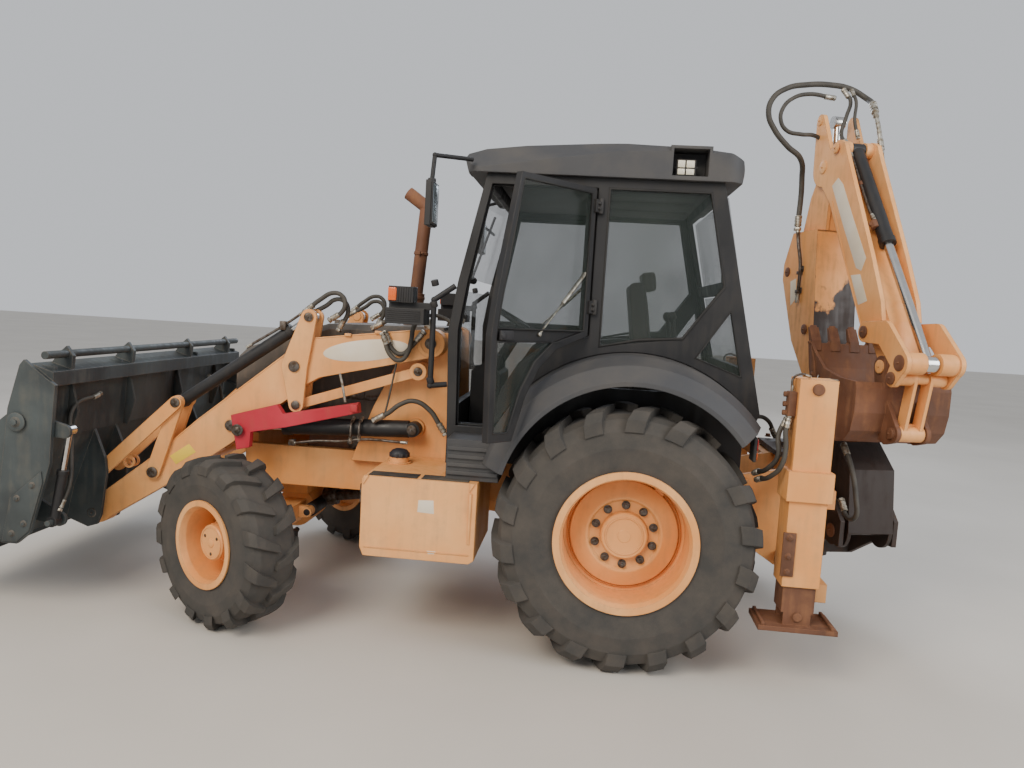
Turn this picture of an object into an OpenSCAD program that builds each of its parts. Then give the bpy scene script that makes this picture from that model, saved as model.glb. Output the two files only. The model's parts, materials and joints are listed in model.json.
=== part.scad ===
// Backhoe loader: a four-wheel-drive tractor with a four-in-one loader bucket at the front
// and a side-shifting backhoe, folded and swung to its left, at the back.
// Side views are drawn as [x, z] from the ground below the rear axle; +X forward, +Y left.

/* [Wheels] */
// Rear tyre diameter over its lugs
rear_tyre_d = 1430; // [1300:5:1500]
// Rear tyre width
rear_tyre_w = 430; // [380:5:450]
// Rear rim bead diameter
rear_rim_d = 711; // [680:1:740]
// Middle of a rear wheel from the middle of the machine
rear_wheel_y = 920; // [900:5:960]
// Front tyre diameter over its lugs
front_tyre_d = 975; // [900:5:1000]
// Front tyre width
front_tyre_w = 320; // [280:5:330]
// Front rim bead diameter
front_rim_d = 457; // [440:1:470]
// Front axle ahead of the rear axle
wheelbase = 2150; // [2100:5:2250]
// Kingpin from the middle of the machine
kingpin_y = 745; // [720:5:760]
// Middle of a front wheel outboard of its kingpin
wheel_offset = 210; // [190:5:215]
// Angle to which the front wheels are turned, to the right
steer_rest = 30; // [0:1:33]
// Lugs on each half of a rear tyre
rear_lugs = 18; // [14:1:22]
// Lugs on each half of a front tyre
front_lugs = 15; // [11:1:16]
// Height of a rear lug
rear_lug_h = 38; // [25:1:45]
// Height of a front lug
front_lug_h = 30; // [20:1:34]

/* [Chassis] */
// Half the width over the two side rails
rail_y = 360; // [320:5:370]
// Thickness of a side rail
rail_t = 60; // [30:5:80]
// Top of the side rails
rail_top = 950; // [900:5:980]
// Bottom of the side rails
rail_bottom = 700; // [650:5:740]
// Height of the engine block
engine_h = 620; // [500:10:700]
// Front end of the hood
hood_front = 2480; // [2400:5:2520]
// Height of the hood's top at the cab
hood_top = 1760; // [1700:5:1790]
// Diameter of the exhaust stack
exhaust_d = 90; // [70:2:100]
// Length of a side box below the door
side_box_l = 634; // [560:2:680]
// Outer face of a side box
side_box_y = 1050; // [1000:5:1080]

/* [Cab] */
// Half the width of the upper cab
cab_y = 760; // [740:5:770]
// Half the width of the cab between the rear wheels
tub_y = 650; // [600:5:665]
// Thickness of a cab wall and of a door
cab_wall = 45; // [35:1:50]
// Level of the cab floor's underside
cab_floor = 1000; // [960:5:1040]
// Level of the underside of the roof
roof_level = 2640; // [2600:5:2680]
// Thickness of the window glass
glass_t = 6; // [4:1:8]
// Angle at which the left door stands open
door_rest = 50; // [0:1:60]
// Outer edge of a rear fender
fender_y = 1120; // [1100:5:1130]
// Height of the wheel arch above the rear tyre, and its reach around it
arch_rise = 135; // [110:5:160]
// Thickness of a fender's sheet
fender_t = 18; // [10:1:25]

/* [Loader] */
// Middle of a loader arm from the middle of the machine
arm_y = 495; // [480:5:500]
// Thickness of a loader arm
arm_t = 90; // [80:2:92]
// Thickness of a bellcrank or lever plate
link_t = 20; // [14:1:22]
// Diameter of a lift barrel
lift_d = 105; // [90:1:110]
// Diameter of a tilt barrel
tilt_d = 76; // [60:1:80]
// Radius of the loader's pins
loader_pin_r = 25; // [18:1:28]

/* [Loader bucket] */
// Half the width over the bucket's side plates
bucket_y = 1175; // [1100:5:1200]
// Thickness of a bucket side plate
bucket_t = 25; // [16:1:30]
// Front edge of the bucket
bucket_front = 3985; // [3900:5:4050]
// Level of the bucket's floor
bucket_floor = 400; // [380:5:420]

/* [Backhoe] */
// Swing axis behind the rear axle
swing_x = -1400; // [-1450:5:-1380]
// Swing axis from the middle, to the left
swing_y = -380; // [-450:5:450]
// Angle by which the backhoe is swung to the left of straight back
swing_rest = 76; // [0:1:80]
// Half the width of the boom
boom_y = 150; // [140:2:160]
// Half the width of the dipper
dipper_y = 130; // [125:1:135]
// Thickness of the boom's and dipper's plates
boom_t = 24; // [16:1:26]
// Radius of the hose over the dipper's head
hose_r = 19; // [12:1:20]
// Radius of a hydraulic pipe
pipe_r = 12; // [8:1:14]
// Radius of the backhoe's pins
hoe_pin_r = 28; // [20:1:32]
// Half the width of the backhoe bucket
hoe_bucket_y = 305; // [250:5:330]

/* [Stabilisers] */
// Middle of a stabiliser from the middle of the machine
stabiliser_y = 1010; // [980:5:1030]
// Middle of a stabiliser behind the rear axle
stabiliser_x = -905; // [-930:5:-880]
// Outer side of a stabiliser's fixed tube
stabiliser_w = 190; // [160:5:200]
// Height of the raised foot above the ground
foot_lift = 330; // [200:5:360]

/* [Clearances] */
// Running clearance of a pin or a rod
run = 0.4; // [0.2:0.1:0.6]
// Clearance between pieces that move past each other
gap = 6; // [5:0.5:8]

/* [Hidden] */
$fn = 48;
// The reference point, on the ground at the middle of the whole outline
ref_x = 1059;
ref_y = 33;
rear_r = rear_tyre_d / 2;
front_r = front_tyre_d / 2;
rear_hub = [0, rear_r];
// Where each wheel's disc lies outboard of the wheel's middle, and its thickness
rear_disc = 20;
front_disc = -20;
disc_t = 30;
front_hub_z = front_r;
axle_tube_r = 120;
// Places of the loader's pins in the side view
arm_pivot = [1195, 1665];
bucket_pin = [3275, 480];
lever_pivot = [2909, 757];
lever_top = [2758, 1207];
bucket_link_pin = [3225, 757];
bellcrank_pivot = [2020, 1478];
bellcrank_top = [1940, 1780];
bellcrank_low = [2003, 1243];
level_pin = [1262, 1493];
lift_base = [1285, 1137];
lift_pin = [2420, 1085];
clam_pivot = [3340, 1127];
clam_base = [3185, 560];
clam_lug = [3094, 1084];
// Places of the backhoe's pins, seen from its right with the swing axis at x = 0
boom_foot = [500, 640];
boom_lift_pin = [-455, 2285];
boom_base_pin = [0, 1190];
dipper_pivot = [-130, 2980];
crowd_base = [-130, 1880];
crowd_pin = [-224, 3307];
curl_base = [35, 3075];
hoe_pin = [735, 1690];
guide_pivot = [612, 1888];
guide_tube = [975, 1728];
guide_pin = [919, 1637];
ear_pin = [865, 1315];
// Plates beside the loader arm: bellcrank and lever plates, then bucket link plates
link_in = arm_y - arm_t / 2 - gap - link_t;
link_out = arm_y + arm_t / 2 + gap;
tower_in = link_in - gap - 35;

function turn(v, a) = [v[0] * cos(a) - v[1] * sin(a), v[0] * sin(a) + v[1] * cos(a)];
function along(p, q, s) = p + (q - p) * s / norm(q - p);
function angle_of(p, q) = atan2(q[1] - p[1], q[0] - p[0]);

// A plate drawn in the side view that reaches from y0 to y1
module slab(y0, y1) {
    translate([0, y1, 0])
        rotate([90, 0, 0])
            linear_extrude(y1 - y0)
                children();
}

// A block between its lowest and its highest corner
module block(lo, hi) {
    translate(lo)
        cube(hi - lo);
}

// A round pin or boss across the machine
module pin(p, r, y0, y1) {
    translate([p[0], y0, p[1]])
        rotate([-90, 0, 0])
            cylinder(h = y1 - y0, r = r);
}

// A round bar in the side view from p to q, at y
module bar(p, q, r, y = 0) {
    translate([p[0], y, p[1]])
        rotate([0, 90 - angle_of(p, q), 0])
            cylinder(h = norm(q - p), r = r);
}

// A round bar between two points in space
module tube(p, q, r) {
    d = q - p;
    translate(p)
        rotate([0, acos(d[2] / norm(d)), atan2(d[1], d[0])])
            cylinder(h = norm(d), r = r);
}

// A welded bend where two tubes meet
module knot(p, r) {
    translate(p)
        sphere(r = r + 2);
}

// The outline of a link with a round end of its own radius at each pin
module link(p, q, r1, r2) {
    a = angle_of(p, q);
    b = acos((r1 - r2) / norm(q - p));
    polygon([p + turn([r1, 0], a + b), q + turn([r2, 0], a + b), q + turn([r2, 0], a - b),
        p + turn([r1, 0], a - b)]);
    translate(p)
        circle(r = r1);
    translate(q)
        circle(r = r2);
}

module disc(p, r) {
    translate(p)
        circle(r = r);
}

module both() {
    children();
    mirror([0, 1, 0])
        children();
}

// A hydraulic barrel from its base eye, with its gland at the open end
module barrel(p, q, length, r, rod_r, y, eye_w, pin_r) {
    tip = along(p, q, length);
    eye_r = max(r * 0.85, pin_r + 14);
    difference() {
        union() {
            bar(along(p, q, eye_r * 0.6), tip, r, y);
            bar(along(p, q, length - r * 0.9), tip, r + 5, y);
            pin(p, eye_r, y - eye_w / 2, y + eye_w / 2);
        }
        bar(along(p, q, eye_r + 20), along(p, q, length + 1), rod_r + run, y);
        pin(p, pin_r + run, y - eye_w, y + eye_w);
    }
}

// A piston rod whose eye, pin included, lies at q
module piston(p, q, start, r, y, eye_r, eye_w) {
    bar(along(p, q, start), q, r, y);
    pin(q, eye_r, y - eye_w / 2, y + eye_w / 2);
}

// Carcass and lugs of a tyre about the Y axis: od, width, bead diameter, lugs a side, lug height
module tyre(od, w, bead_d, lugs, lug_h) {
    r = od / 2;
    root = r - lug_h;
    h = w / 2;
    bead = bead_d / 2 + run;
    side = r - bead;
    rotate([90, 0, 0])
        rotate_extrude($fn = 72)
            polygon([[bead, -h * 0.86], [bead + side * 0.12, -h * 0.90], [bead + side * 0.42, -h * 0.985],
                [bead + side * 0.66, -h * 0.96], [root - side * 0.06, -h * 0.84], [root, -h * 0.62],
                [root, h * 0.62], [root - side * 0.06, h * 0.84], [bead + side * 0.66, h * 0.96],
                [bead + side * 0.42, h * 0.985], [bead + side * 0.12, h * 0.90], [bead, h * 0.86],
                [bead + side * 0.14, h * 0.72], [root - side * 0.22, h * 0.72],
                [root - side * 0.22, -h * 0.72], [bead + side * 0.14, -h * 0.72]]);
    pitch = PI * od / lugs;
    intersection() {
        rotate([90, 0, 0])
            rotate_extrude($fn = 72)
                polygon([[root - side * 0.20, -h * 0.80], [root - side * 0.24, -h], [r - side * 0.16, -h],
                    [r - side * 0.03, -h * 0.84], [r, -h * 0.55], [r, h * 0.55], [r - side * 0.03, h * 0.84],
                    [r - side * 0.16, h], [root - side * 0.24, h], [root - side * 0.20, h * 0.80],
                    [root - 4, h * 0.60], [root - 4, -h * 0.60]]);
        union()
            for (i = [0 : lugs - 1], s = [-1, 1])
                rotate([0, (i + (s + 1) / 4) * 360 / lugs, 0])
                    linear_extrude(r + 10)
                        polygon([[-pitch * 0.10, -s * h * 0.06], [pitch * 0.12, -s * h * 0.02],
                            [pitch * 0.34, s * h * 0.50], [pitch * 0.62, s * h * 1.02],
                            [pitch * 0.22, s * h * 1.02], [pitch * 0.06, s * h * 0.50]]);
    }
}

// Rim about the Y axis, its outer side towards +Y: bead diameter, the tyre's width, flange height,
// radii of the hub, the dish ring and the disc, and how far the disc and the cap lie outboard
module rim(bead_d, w, flange, hub_r, dish_r, edge_r, disc_y, cap_y) {
    r = bead_d / 2;
    wall = 12;
    seat = w * 0.43 + 1;
    lip = w * 0.45 + run;
    b = lip + wall - 1;
    mirror([0, 1, 0])
        rotate([90, 0, 0])
            rotate_extrude($fn = 72) {
                polygon([[r - wall, -b], [r + flange, -b], [r + flange, -lip], [r, -seat],
                    [r, seat], [r + flange, lip], [r + flange, b], [r - wall, b],
                    [r - wall * 2, b - wall * 3], [r - wall * 2, -b + wall * 3]]);
                polygon([[0, disc_y - disc_t], [dish_r, disc_y - disc_t], [edge_r - 14, disc_y - 72],
                    [r - wall * 2 + 1, disc_y - 72], [r - wall * 2 + 1, disc_y - 60],
                    [edge_r, disc_y - 60], [edge_r, disc_y - 34], [dish_r, disc_y],
                    [dish_r - 12, disc_y], [dish_r - 22, disc_y - 13], [hub_r + 4, disc_y - 13],
                    [hub_r, cap_y - 8], [hub_r - 8, cap_y], [0, cap_y]]);
            }
}

module place_steer(side) {
    translate([wheelbase, side * kingpin_y, front_hub_z])
        rotate([0, 0, -steer_rest])
            children();
}

// Chassis, engine and axles

module tower_outline() {
    polygon([[1075, 900], [1690, 900], [1560, 1250], [1330, 1730], [1110, 1730]]);
}

module chassis_frame() {
    color("sandybrown") {
        both() {
            slab(rail_y - rail_t, rail_y)
                difference() {
                    polygon([[-760, rail_bottom], [wheelbase + 250, rail_bottom],
                        [wheelbase + 250, rail_top], [-760, rail_top]]);
                    disc(rear_hub, axle_tube_r + 0.3);
                }
            slab(tower_in, tower_in + 35)
                tower_outline();
            for (p = [arm_pivot, level_pin])
                pin(p, loader_pin_r, tower_in, arm_y + arm_t / 2 + 8);
            pin(arm_pivot, 85, tower_in + 35, arm_y - arm_t / 2 - 1);
            pin(level_pin, 55, tower_in + 35, arm_y - arm_t / 2 - 2);
            pin(level_pin, 40, tower_in + 35, arm_y - 31);
            pin(lift_base, 55, tower_in + 35, arm_y - lift_d / 2 - 1);
        }
        both()
            for (x = [-560, 860])
                block([x, rail_y - rail_t, rail_top - 1], [x + 100, rail_y, cab_floor - 0.3]);
        for (x = [-460, 1110, 1640])
            block([x, -rail_y + rail_t, rail_bottom + 20], [x + 50, rail_y - rail_t, rail_bottom + 180]);
        block([wheelbase + 190, -rail_y + rail_t, rail_bottom - 40],
            [wheelbase + 250, rail_y - rail_t, rail_top + 60]);
        block([wheelbase - 120, -150, rail_bottom - 40], [wheelbase - 90, 150, rail_top]);
        both()
            block([wheelbase - 120, 149, rail_bottom + 20], [wheelbase - 90, rail_y - rail_t, rail_top]);
        both()
            slab(rail_y - rail_t - 1, tower_in + 1)
                polygon([[1075, rail_top - 60], [1690, rail_top - 60], [1690, rail_top - 40],
                    [1075, rail_top - 40]]);
    }
}

module engine_block() {
    color("dimgray")
        block([1230, -260, rail_bottom + 200], [wheelbase - 130, 260, rail_bottom + 200 + engine_h]);
}

hood_hinge = [hood_front - 20, rail_top + 80];

// Cuts the upper edge that runs from p to q in the side view, where the part is y wide, at 45 degrees
module edge_cut(p, q, y, size) {
    both()
        translate([p[0], 0, p[1]])
            rotate([0, -angle_of(p, q), 0])
                rotate([90, 0, 90])
                    linear_extrude(norm(q - p) + 8)
                        polygon([[y + 1, -size - 1], [y + 1, 200], [y - size - 200, 200]]);
}

module hood() {
    side = polygon_hood();
    color("dimgray")
        both()
            pin(hood_hinge, 16, 300, 344);
    color("dimgray")
        difference() {
            slab(-345, 345)
                polygon(side);
            edge_cut([1140, hood_top], [1900, hood_top - 20], 345, 34);
            edge_cut([1900, hood_top - 20], [hood_front - 60, 1560], 345, 37);
            edge_cut([hood_front - 60, 1560], [hood_front + 10, 1490], 345, 34);
            slab(-325, 325)
                offset_hood();
            block([1000, -330, 900], [1160, 330, 1900]);
            block([1000, -250 - exhaust_d / 2 - 22, 1500], [1590, -250 + exhaust_d / 2 + 22, 1900]);
        }
    color("black")
        for (z = [rail_top + 120 : 60 : 1440])
            block([hood_front + 0.3, -280, z], [hood_front + 12, 280, z + 30]);
    color("black")
        both()
            block([hood_front + 0.3, 240, rail_top + 100], [hood_front + 9, 262, 1490]);
}

function polygon_hood() = [[1150, 1300], [1700, 1080], [hood_front - 20, rail_top + 80],
    [hood_front, rail_top + 90], [hood_front, 1500], [hood_front - 60, 1560], [1900, hood_top - 20],
    [1150, hood_top]];

module offset_hood() {
    polygon([[1100, 1200], [1700, 1000], [hood_front - 20, rail_top], [hood_front - 20, 1490],
        [hood_front - 70, 1542], [1897, hood_top - 40], [1100, hood_top - 20]]);
}

rail_r = 16;
exhaust_foot = [1505, -250, 1545];
exhaust_bend = [1428, -250, 2560];
exhaust_tip = [1560, -250, 2650];

module exhaust_stack() {
    color("sienna")
        difference() {
            union() {
                tube(exhaust_foot, exhaust_bend, exhaust_d / 2);
                knot(exhaust_bend, exhaust_d / 2);
                tube(exhaust_bend, exhaust_tip, exhaust_d / 2);
                tube(exhaust_foot, exhaust_foot + (exhaust_bend - exhaust_foot) * 0.42, exhaust_d / 2 + 14);
            }
            tube(exhaust_bend + (exhaust_tip - exhaust_bend) * 0.3, exhaust_tip * 2 - exhaust_bend,
                exhaust_d / 2 - 5);
        }
    color("sienna")
        block([1440, -300, rail_bottom + 200 + engine_h + 0.3], [1570, -200, 1546]);
}

module rear_axle() {
    color("sandybrown") {
        both() {
            pin(rear_hub, axle_tube_r, 180, 560);
            pin(rear_hub, 150, 560, 620);
            pin(rear_hub, 105, 620, rear_wheel_y + rear_disc - disc_t - 0.5);
        }
        pin(rear_hub, 220, -181, 181);
        slab(-150, 150)
            polygon([[0, rear_r - 180], [1050, rear_r - 120], [1050, rear_r + 130], [0, rear_r + 180]]);
        both()
            block([-90, 380, rear_r + 60], [90, 600, cab_floor - 0.3]);
    }
}

module front_axle() {
    color("sandybrown") {
        difference() {
            union() {
                slab(-kingpin_y + 90, kingpin_y - 90)
                    polygon([[wheelbase - 70, front_hub_z - 60], [wheelbase + 70, front_hub_z - 60],
                        [wheelbase + 70, front_hub_z + 60], [wheelbase - 70, front_hub_z + 60]]);
                pin([wheelbase, front_hub_z], 130, -170, 110);
                both() {
                    for (s = [-1, 1])
                        translate([wheelbase, kingpin_y, front_hub_z + s * 112])
                            cylinder(h = 34, r = 62, center = true);
                    difference() {
                        block([wheelbase - 62, kingpin_y - 130, front_hub_z - 129],
                            [wheelbase + 62, kingpin_y, front_hub_z + 129]);
                        translate([wheelbase, kingpin_y, front_hub_z])
                            cylinder(h = 190, r = 105, center = true);
                    }
                }
                slab(-90, 90)
                    polygon([[wheelbase - 85, front_hub_z], [wheelbase + 85, front_hub_z],
                        [wheelbase + 85, rail_bottom - 60], [wheelbase - 85, rail_bottom - 60]]);
                block([wheelbase - 89.5, -145, rail_bottom - 110], [wheelbase + 189.5, 145, rail_bottom - 41]);
            }
            both()
                translate([wheelbase, kingpin_y, front_hub_z])
                    cylinder(h = 400, r = 22 + run, center = true);
        }
        pin([wheelbase - 130, front_hub_z + 10], 32, -260, 260);
        both()
            block([wheelbase - 130, 200, front_hub_z - 30], [wheelbase - 69, 250, front_hub_z + 45]);
    }
}

// A steered hub carrier on its kingpin; side is 1 on the left and -1 on the right
module knuckle(side) {
    color("sandybrown")
        place_steer(side) {
            cylinder(h = 189, r = 58, center = true);
            cylinder(h = 262, r = 22, center = true);
            mirror([0, side < 0 ? 1 : 0, 0])
                pin([0, 0], 88, 60, wheel_offset + front_disc - disc_t - 0.5);
            mirror([0, side < 0 ? 1 : 0, 0])
                pin([0, 0], 70, 0, 61);
            block([-190, -25, -40], [-40, 25, 0]);
        }
}

module rear_tyre(side) {
    color("dimgray")
        translate([0, side * rear_wheel_y, rear_r])
            tyre(rear_tyre_d, rear_tyre_w, rear_rim_d, rear_lugs, rear_lug_h);
}

module rear_rim(side) {
    color("sandybrown")
        translate([0, side * rear_wheel_y, rear_r])
            mirror([0, side < 0 ? 1 : 0, 0])
                rim(rear_rim_d, rear_tyre_w, 27, 127, 208, 293, rear_disc, 48);
}

module front_tyre(side) {
    color("dimgray")
        place_steer(side)
            translate([0, side * wheel_offset, 0])
                tyre(front_tyre_d, front_tyre_w, front_rim_d, front_lugs, front_lug_h);
}

module front_rim(side) {
    color("sandybrown")
        place_steer(side)
            mirror([0, side < 0 ? 1 : 0, 0])
                translate([0, wheel_offset, 0])
                    rim(front_rim_d, front_tyre_w, 22, 102, 150, 184, front_disc, 95);
}

// Cab

// Outline of the cab; the wheel arch is cut from what is wider than the tub
arch = [0, rear_r + arch_rise];
arch_r = rear_r + arch_rise;

// A point of the side view that lies d outside the arch, at angle a about its middle
function off_arch(a, d) = arch + turn([arch_r + d, 0], a);
function cab_side() = [[775, cab_floor], [1034, cab_floor], [1034, 1137], [1055, 1761], [1013, 2036],
    [880, roof_level], [-413, roof_level], [-700, 1400], [-640, 1250], [775, 1250]];
function cab_inner() = [[990, cab_floor + 30], [990, 1137], [1010, 1761], [968, 2036], [845, roof_level + 1],
    [-378, roof_level + 1], [-640, 1500], [-600, cab_floor + 30]];
function door_opening(g) = [[808 + g, 1220 + g], [985 - g, 1220 + g], [1000 - g, 1761], [960 - g, 2036],
    [850 - g, 2585 - g], [262 + g, 2585 - g], [262 + g, off_arch(74.1, 107)[1] + g], off_arch(58.2, 138 + g),
    off_arch(49.1, 129 + g), off_arch(39.6, 91 + g)];
function quarter_window() = [[200, 2585], [-345, 2585], [-455, 2085], off_arch(104.9, 123), off_arch(77, 43)];
function rear_corner_window() = [[-500, 1955], off_arch(127.8, 99), off_arch(111.4, 52)];
function tub_side() = [[-640, cab_floor], [776, cab_floor], [776, 1481], [-640, 1481]];

module cab_frame() {
    color("black")
        difference() {
            union() {
                slab(-cab_y, cab_y)
                    difference() {
                        polygon(cab_side());
                        disc(arch, arch_r + 0.3);
                    }
                slab(-tub_y, tub_y)
                    polygon(tub_side());
            }
            slab(-tub_y + cab_wall, tub_y - cab_wall)
                polygon(cab_inner());
            slab(-cab_y + cab_wall, cab_y - cab_wall)
                difference() {
                    polygon([[990, 1220], [1010, 1761], [968, 2036], [845, roof_level + 1],
                        [-378, roof_level + 1], [-640, 1500], [-600, 1250], [780, 1220]]);
                    disc(arch, arch_r + 30);
                }
            slab(-cab_y - 1, cab_y + 1)
                polygon(door_opening(0));
            slab(-cab_y - 1, cab_y + 1)
                polygon(quarter_window());
            slab(-cab_y - 1, cab_y + 1)
                polygon(rear_corner_window());
            block([900, -cab_y + 80, 1330], [1100, cab_y - 80, 1990]);
            block([780, -cab_y + 80, 2050], [1100, cab_y - 80, 2580]);
            block([870, -cab_y + 80, 1980], [1100, cab_y - 80, 2060]);
            block([-800, -cab_y + 80, 1640], [-450, cab_y - 80, 2060]);
            block([-800, -cab_y + 80, 2130], [-300, cab_y - 80, 2580]);
        }
}

roof_side = cab_y + 40;
roof_rear = -520;
roof_front = 1014;
lamp_recess = [[-313, 2663], [-124, 2806]];

// Plan of the roof, with rounded corners
module roof_plan() {
    r = 110;
    translate([roof_rear + r, -roof_side])
        square([roof_front - roof_rear - r * 2, roof_side * 2]);
    translate([roof_rear, -roof_side + r])
        square([roof_front - roof_rear, roof_side * 2 - r * 2]);
    for (x = [roof_rear + r, roof_front - r], y = [-1, 1])
        disc([x, y * (roof_side - r)], r);
}

module cab_roof() {
    low = roof_level + 0.3;
    color("dimgray")
        difference() {
            union() {
                intersection() {
                    slab(-roof_side, roof_side)
                        polygon([[985, low], [1012, 2715], [997, 2749], [900, 2783], [674, 2808],
                            [274, 2826], [120, 2829], [-250, 2814], [-430, 2792], [-505, 2760],
                            [-520, 2710], [-505, low]]);
                    translate([0, 0, low - 1])
                        linear_extrude(250)
                            roof_plan();
                }
                both()
                    block([lamp_recess[0][0] - 16, roof_side - 260, 2700],
                        [lamp_recess[1][0] + 16, roof_side, lamp_recess[1][1] + 16]);
            }
            edge_cut([164, 2778], [1030, 2650], roof_side, 0);
            edge_cut([lamp_recess[1][0] + 16, 2789], [164, 2778], roof_side, 0);
            edge_cut([-530, 2780], [lamp_recess[0][0] - 24, 2788], roof_side, 0);
            both()
                block([lamp_recess[0][0], roof_side - 150, lamp_recess[0][1]],
                    [lamp_recess[1][0], roof_side + 1, lamp_recess[1][1]]);
        }
}

module pane(shape, y) {
    slab(y - glass_t / 2, y + glass_t / 2)
        polygon(shape);
}

module cab_glass() {
    color("darkslategray") {
        both() {
            pane(quarter_window(), cab_y - 14);
            pane(rear_corner_window(), cab_y - 14);
        }
        slab(-cab_y + 80, cab_y - 80)
            polygon([[1024, 1330], [1040, 1761], [1020, 1990], [1014, 1990], [1034, 1761], [1018, 1330]]);
        slab(-cab_y + 80, cab_y - 80)
            polygon([[1000, 2065], [888, 2575], [882, 2575], [994, 2065]]);
        slab(-cab_y + 80, cab_y - 80)
            polygon([[-650, 1640], [-560, 2055], [-554, 2055], [-644, 1640]]);
        slab(-cab_y + 80, cab_y - 80)
            polygon([[-545, 2135], [-450, 2575], [-444, 2575], [-539, 2135]]);
    }
}

module operator_seat() {
    color("dimgray") {
        block([-60, -240, 1420], [420, 240, 1540]);
        slab(-230, 230)
            polygon([[-60, 1500], [60, 1500], [-10, 2150], [-110, 2150]]);
        block([60, -150, cab_floor + 30.3], [300, 150, 1421]);
        both()
            block([-20, 250, 1640], [300, 300, 1690]);
        both()
            block([-20, 229, 1500], [40, 300, 1689]);
    }
}

steering_low = [880, 1480];
steering_hub = [700, 1800];

module dash_console() {
    color("dimgray") {
        slab(-250, 250)
            polygon([[800, cab_floor + 30.3], [985, cab_floor + 30.3], [985, 1500], [900, 1560], [800, 1480]]);
        bar(steering_low, steering_hub, 35);
        translate([steering_hub[0], 0, steering_hub[1]])
            rotate([0, 90 - angle_of(steering_low, steering_hub), 0]) {
                rotate_extrude()
                    translate([190, 0])
                        circle(r = 14, $fn = 10);
                for (a = [0, 120, 240])
                    rotate([0, 0, a])
                        translate([0, -12, -6])
                            cube([190, 24, 10]);
                cylinder(h = 30, r = 45, center = true);
            }
        block([-420, -560, cab_floor + 30.3], [-180, 560, 1560]);
        for (y = [-160, 160])
            tube([-306, y, 1515], [-250, y, 1900], 15);
    }
}

// Fenders and steps

// Section of a fender across the wheel: how far each point lies below the top, and its y
module fender_section() {
    top = arch_r;
    polygon([[top, tub_y + 0.3], [top - 10, fender_y - 170], [top - 55, fender_y - 70],
        [top - 135, fender_y], [top - 160, fender_y], [top - 160, fender_y - fender_t],
        [top - 140, fender_y - fender_t], [top - 55 - fender_t, fender_y - 80],
        [top - 10 - fender_t, fender_y - 172], [top - fender_t, tub_y + 0.3]]);
}

// Fenders and the ribbed step below each door
module fenders() {
    step_top = 1180;
    step_low = 955.3;
    color("dimgray")
        both() {
            difference() {
                translate([0, 0, arch[1]])
                    rotate([-90, 0, 0])
                        rotate([0, 0, -143])
                            rotate_extrude(angle = 128, $fn = 96)
                                fender_section();
                block([600, 0, 900], [1000, 1001, step_top + 0.3]);
            }
            block([700, cab_y + 0.3, step_low], [990, 985, step_top]);
            block([700, tub_y + 0.3, step_low], [774.7, cab_y + 1, step_top]);
            for (z = [step_low + 30 : 45 : step_top - 30])
                block([705, 984, z], [985, 997, z + 22]);
        }
}

module side_boxes() {
    color("sandybrown")
        both() {
            slab(rail_y + 70, side_box_y)
                polygon([[802, 530], [830, 510], [802 + side_box_l - 20, 510], [802 + side_box_l, 560],
                    [802 + side_box_l, 940], [802 + side_box_l - 15, 955], [802, 955]]);
            for (x = [900, 1300])
                block([x, rail_y + 0.3, 750], [x + 60, rail_y + 71, 880]);
        }
    color("black")
        translate([1330, 640, 955])
            cylinder(h = 60, r = 55);
}

// Lamps, mirrors and grab rails
module lamps_mirrors() {
    color("black")
        both() {
            tube([1029.5, cab_y - 14, 2010], [1140, cab_y + 20, 1925], rail_r);
            knot([1140, cab_y + 20, 1925], rail_r);
            tube([1140, cab_y + 20, 1925], [1140, cab_y + 20, 1440], rail_r);
            knot([1140, cab_y + 20, 1440], rail_r);
            tube([1051.5, cab_y - 14, 1450], [1140, cab_y + 20, 1440], rail_r);
            block([1135, cab_y + 8, 1865], [1395, cab_y + 32, 1905]);
            block([1250, cab_y - 40, 1900], [1390, cab_y + 70, 1990]);
            block([1180, cab_y - 70, 1780], [1400, cab_y + 90, 1869]);
            tube([960, cab_y + 49, 2700], [1130, 1000, 2680], 12);
            knot([1130, 1000, 2680], 12);
            tube([1130, 1000, 2680], [1140, 1000, 2540], 12);
            block([1125, 915, 2310], [1155, 1075, 2541]);
        }
}

// Rear frame: two rails across the back that the backhoe slides on, and the stabiliser tubes
rail_x0 = -1095;
rail_x1 = -1035;
upper_rail = [940, 1040];
lower_rail = [430, 530];

module rear_frame() {
    color("sandybrown") {
        for (z = [upper_rail, lower_rail])
            block([rail_x0, -stabiliser_y + 90, z[0]], [rail_x1, stabiliser_y - 90, z[1]]);
        both() {
            slab(rail_y - rail_t - 40, rail_y - rail_t - 0.3)
                polygon([[-1036, 430], [-960, 430], [-500, 720], [-500, 930], [-1036, 1040]]);
            for (z = [upper_rail, lower_rail])
                block([stabiliser_x - 140, rail_y - rail_t - 2, z[0] + 10],
                    [stabiliser_x - 60, stabiliser_y - 89, z[1] - 10]);
            difference() {
                union() {
                    block([stabiliser_x - stabiliser_w / 2, stabiliser_y - 90, 560],
                        [stabiliser_x + stabiliser_w / 2, stabiliser_y + 90, 1635]);
                    block([stabiliser_x - stabiliser_w / 2 - 20, stabiliser_y - 91, 1010],
                        [stabiliser_x + stabiliser_w / 2 + 20, stabiliser_y + 108, 1165]);
                }
                block([stabiliser_x - stabiliser_w / 2 + 12, stabiliser_y - 78, 500],
                    [stabiliser_x + stabiliser_w / 2 - 12, stabiliser_y + 78, 1600]);
            }
        }
    }
}

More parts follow.
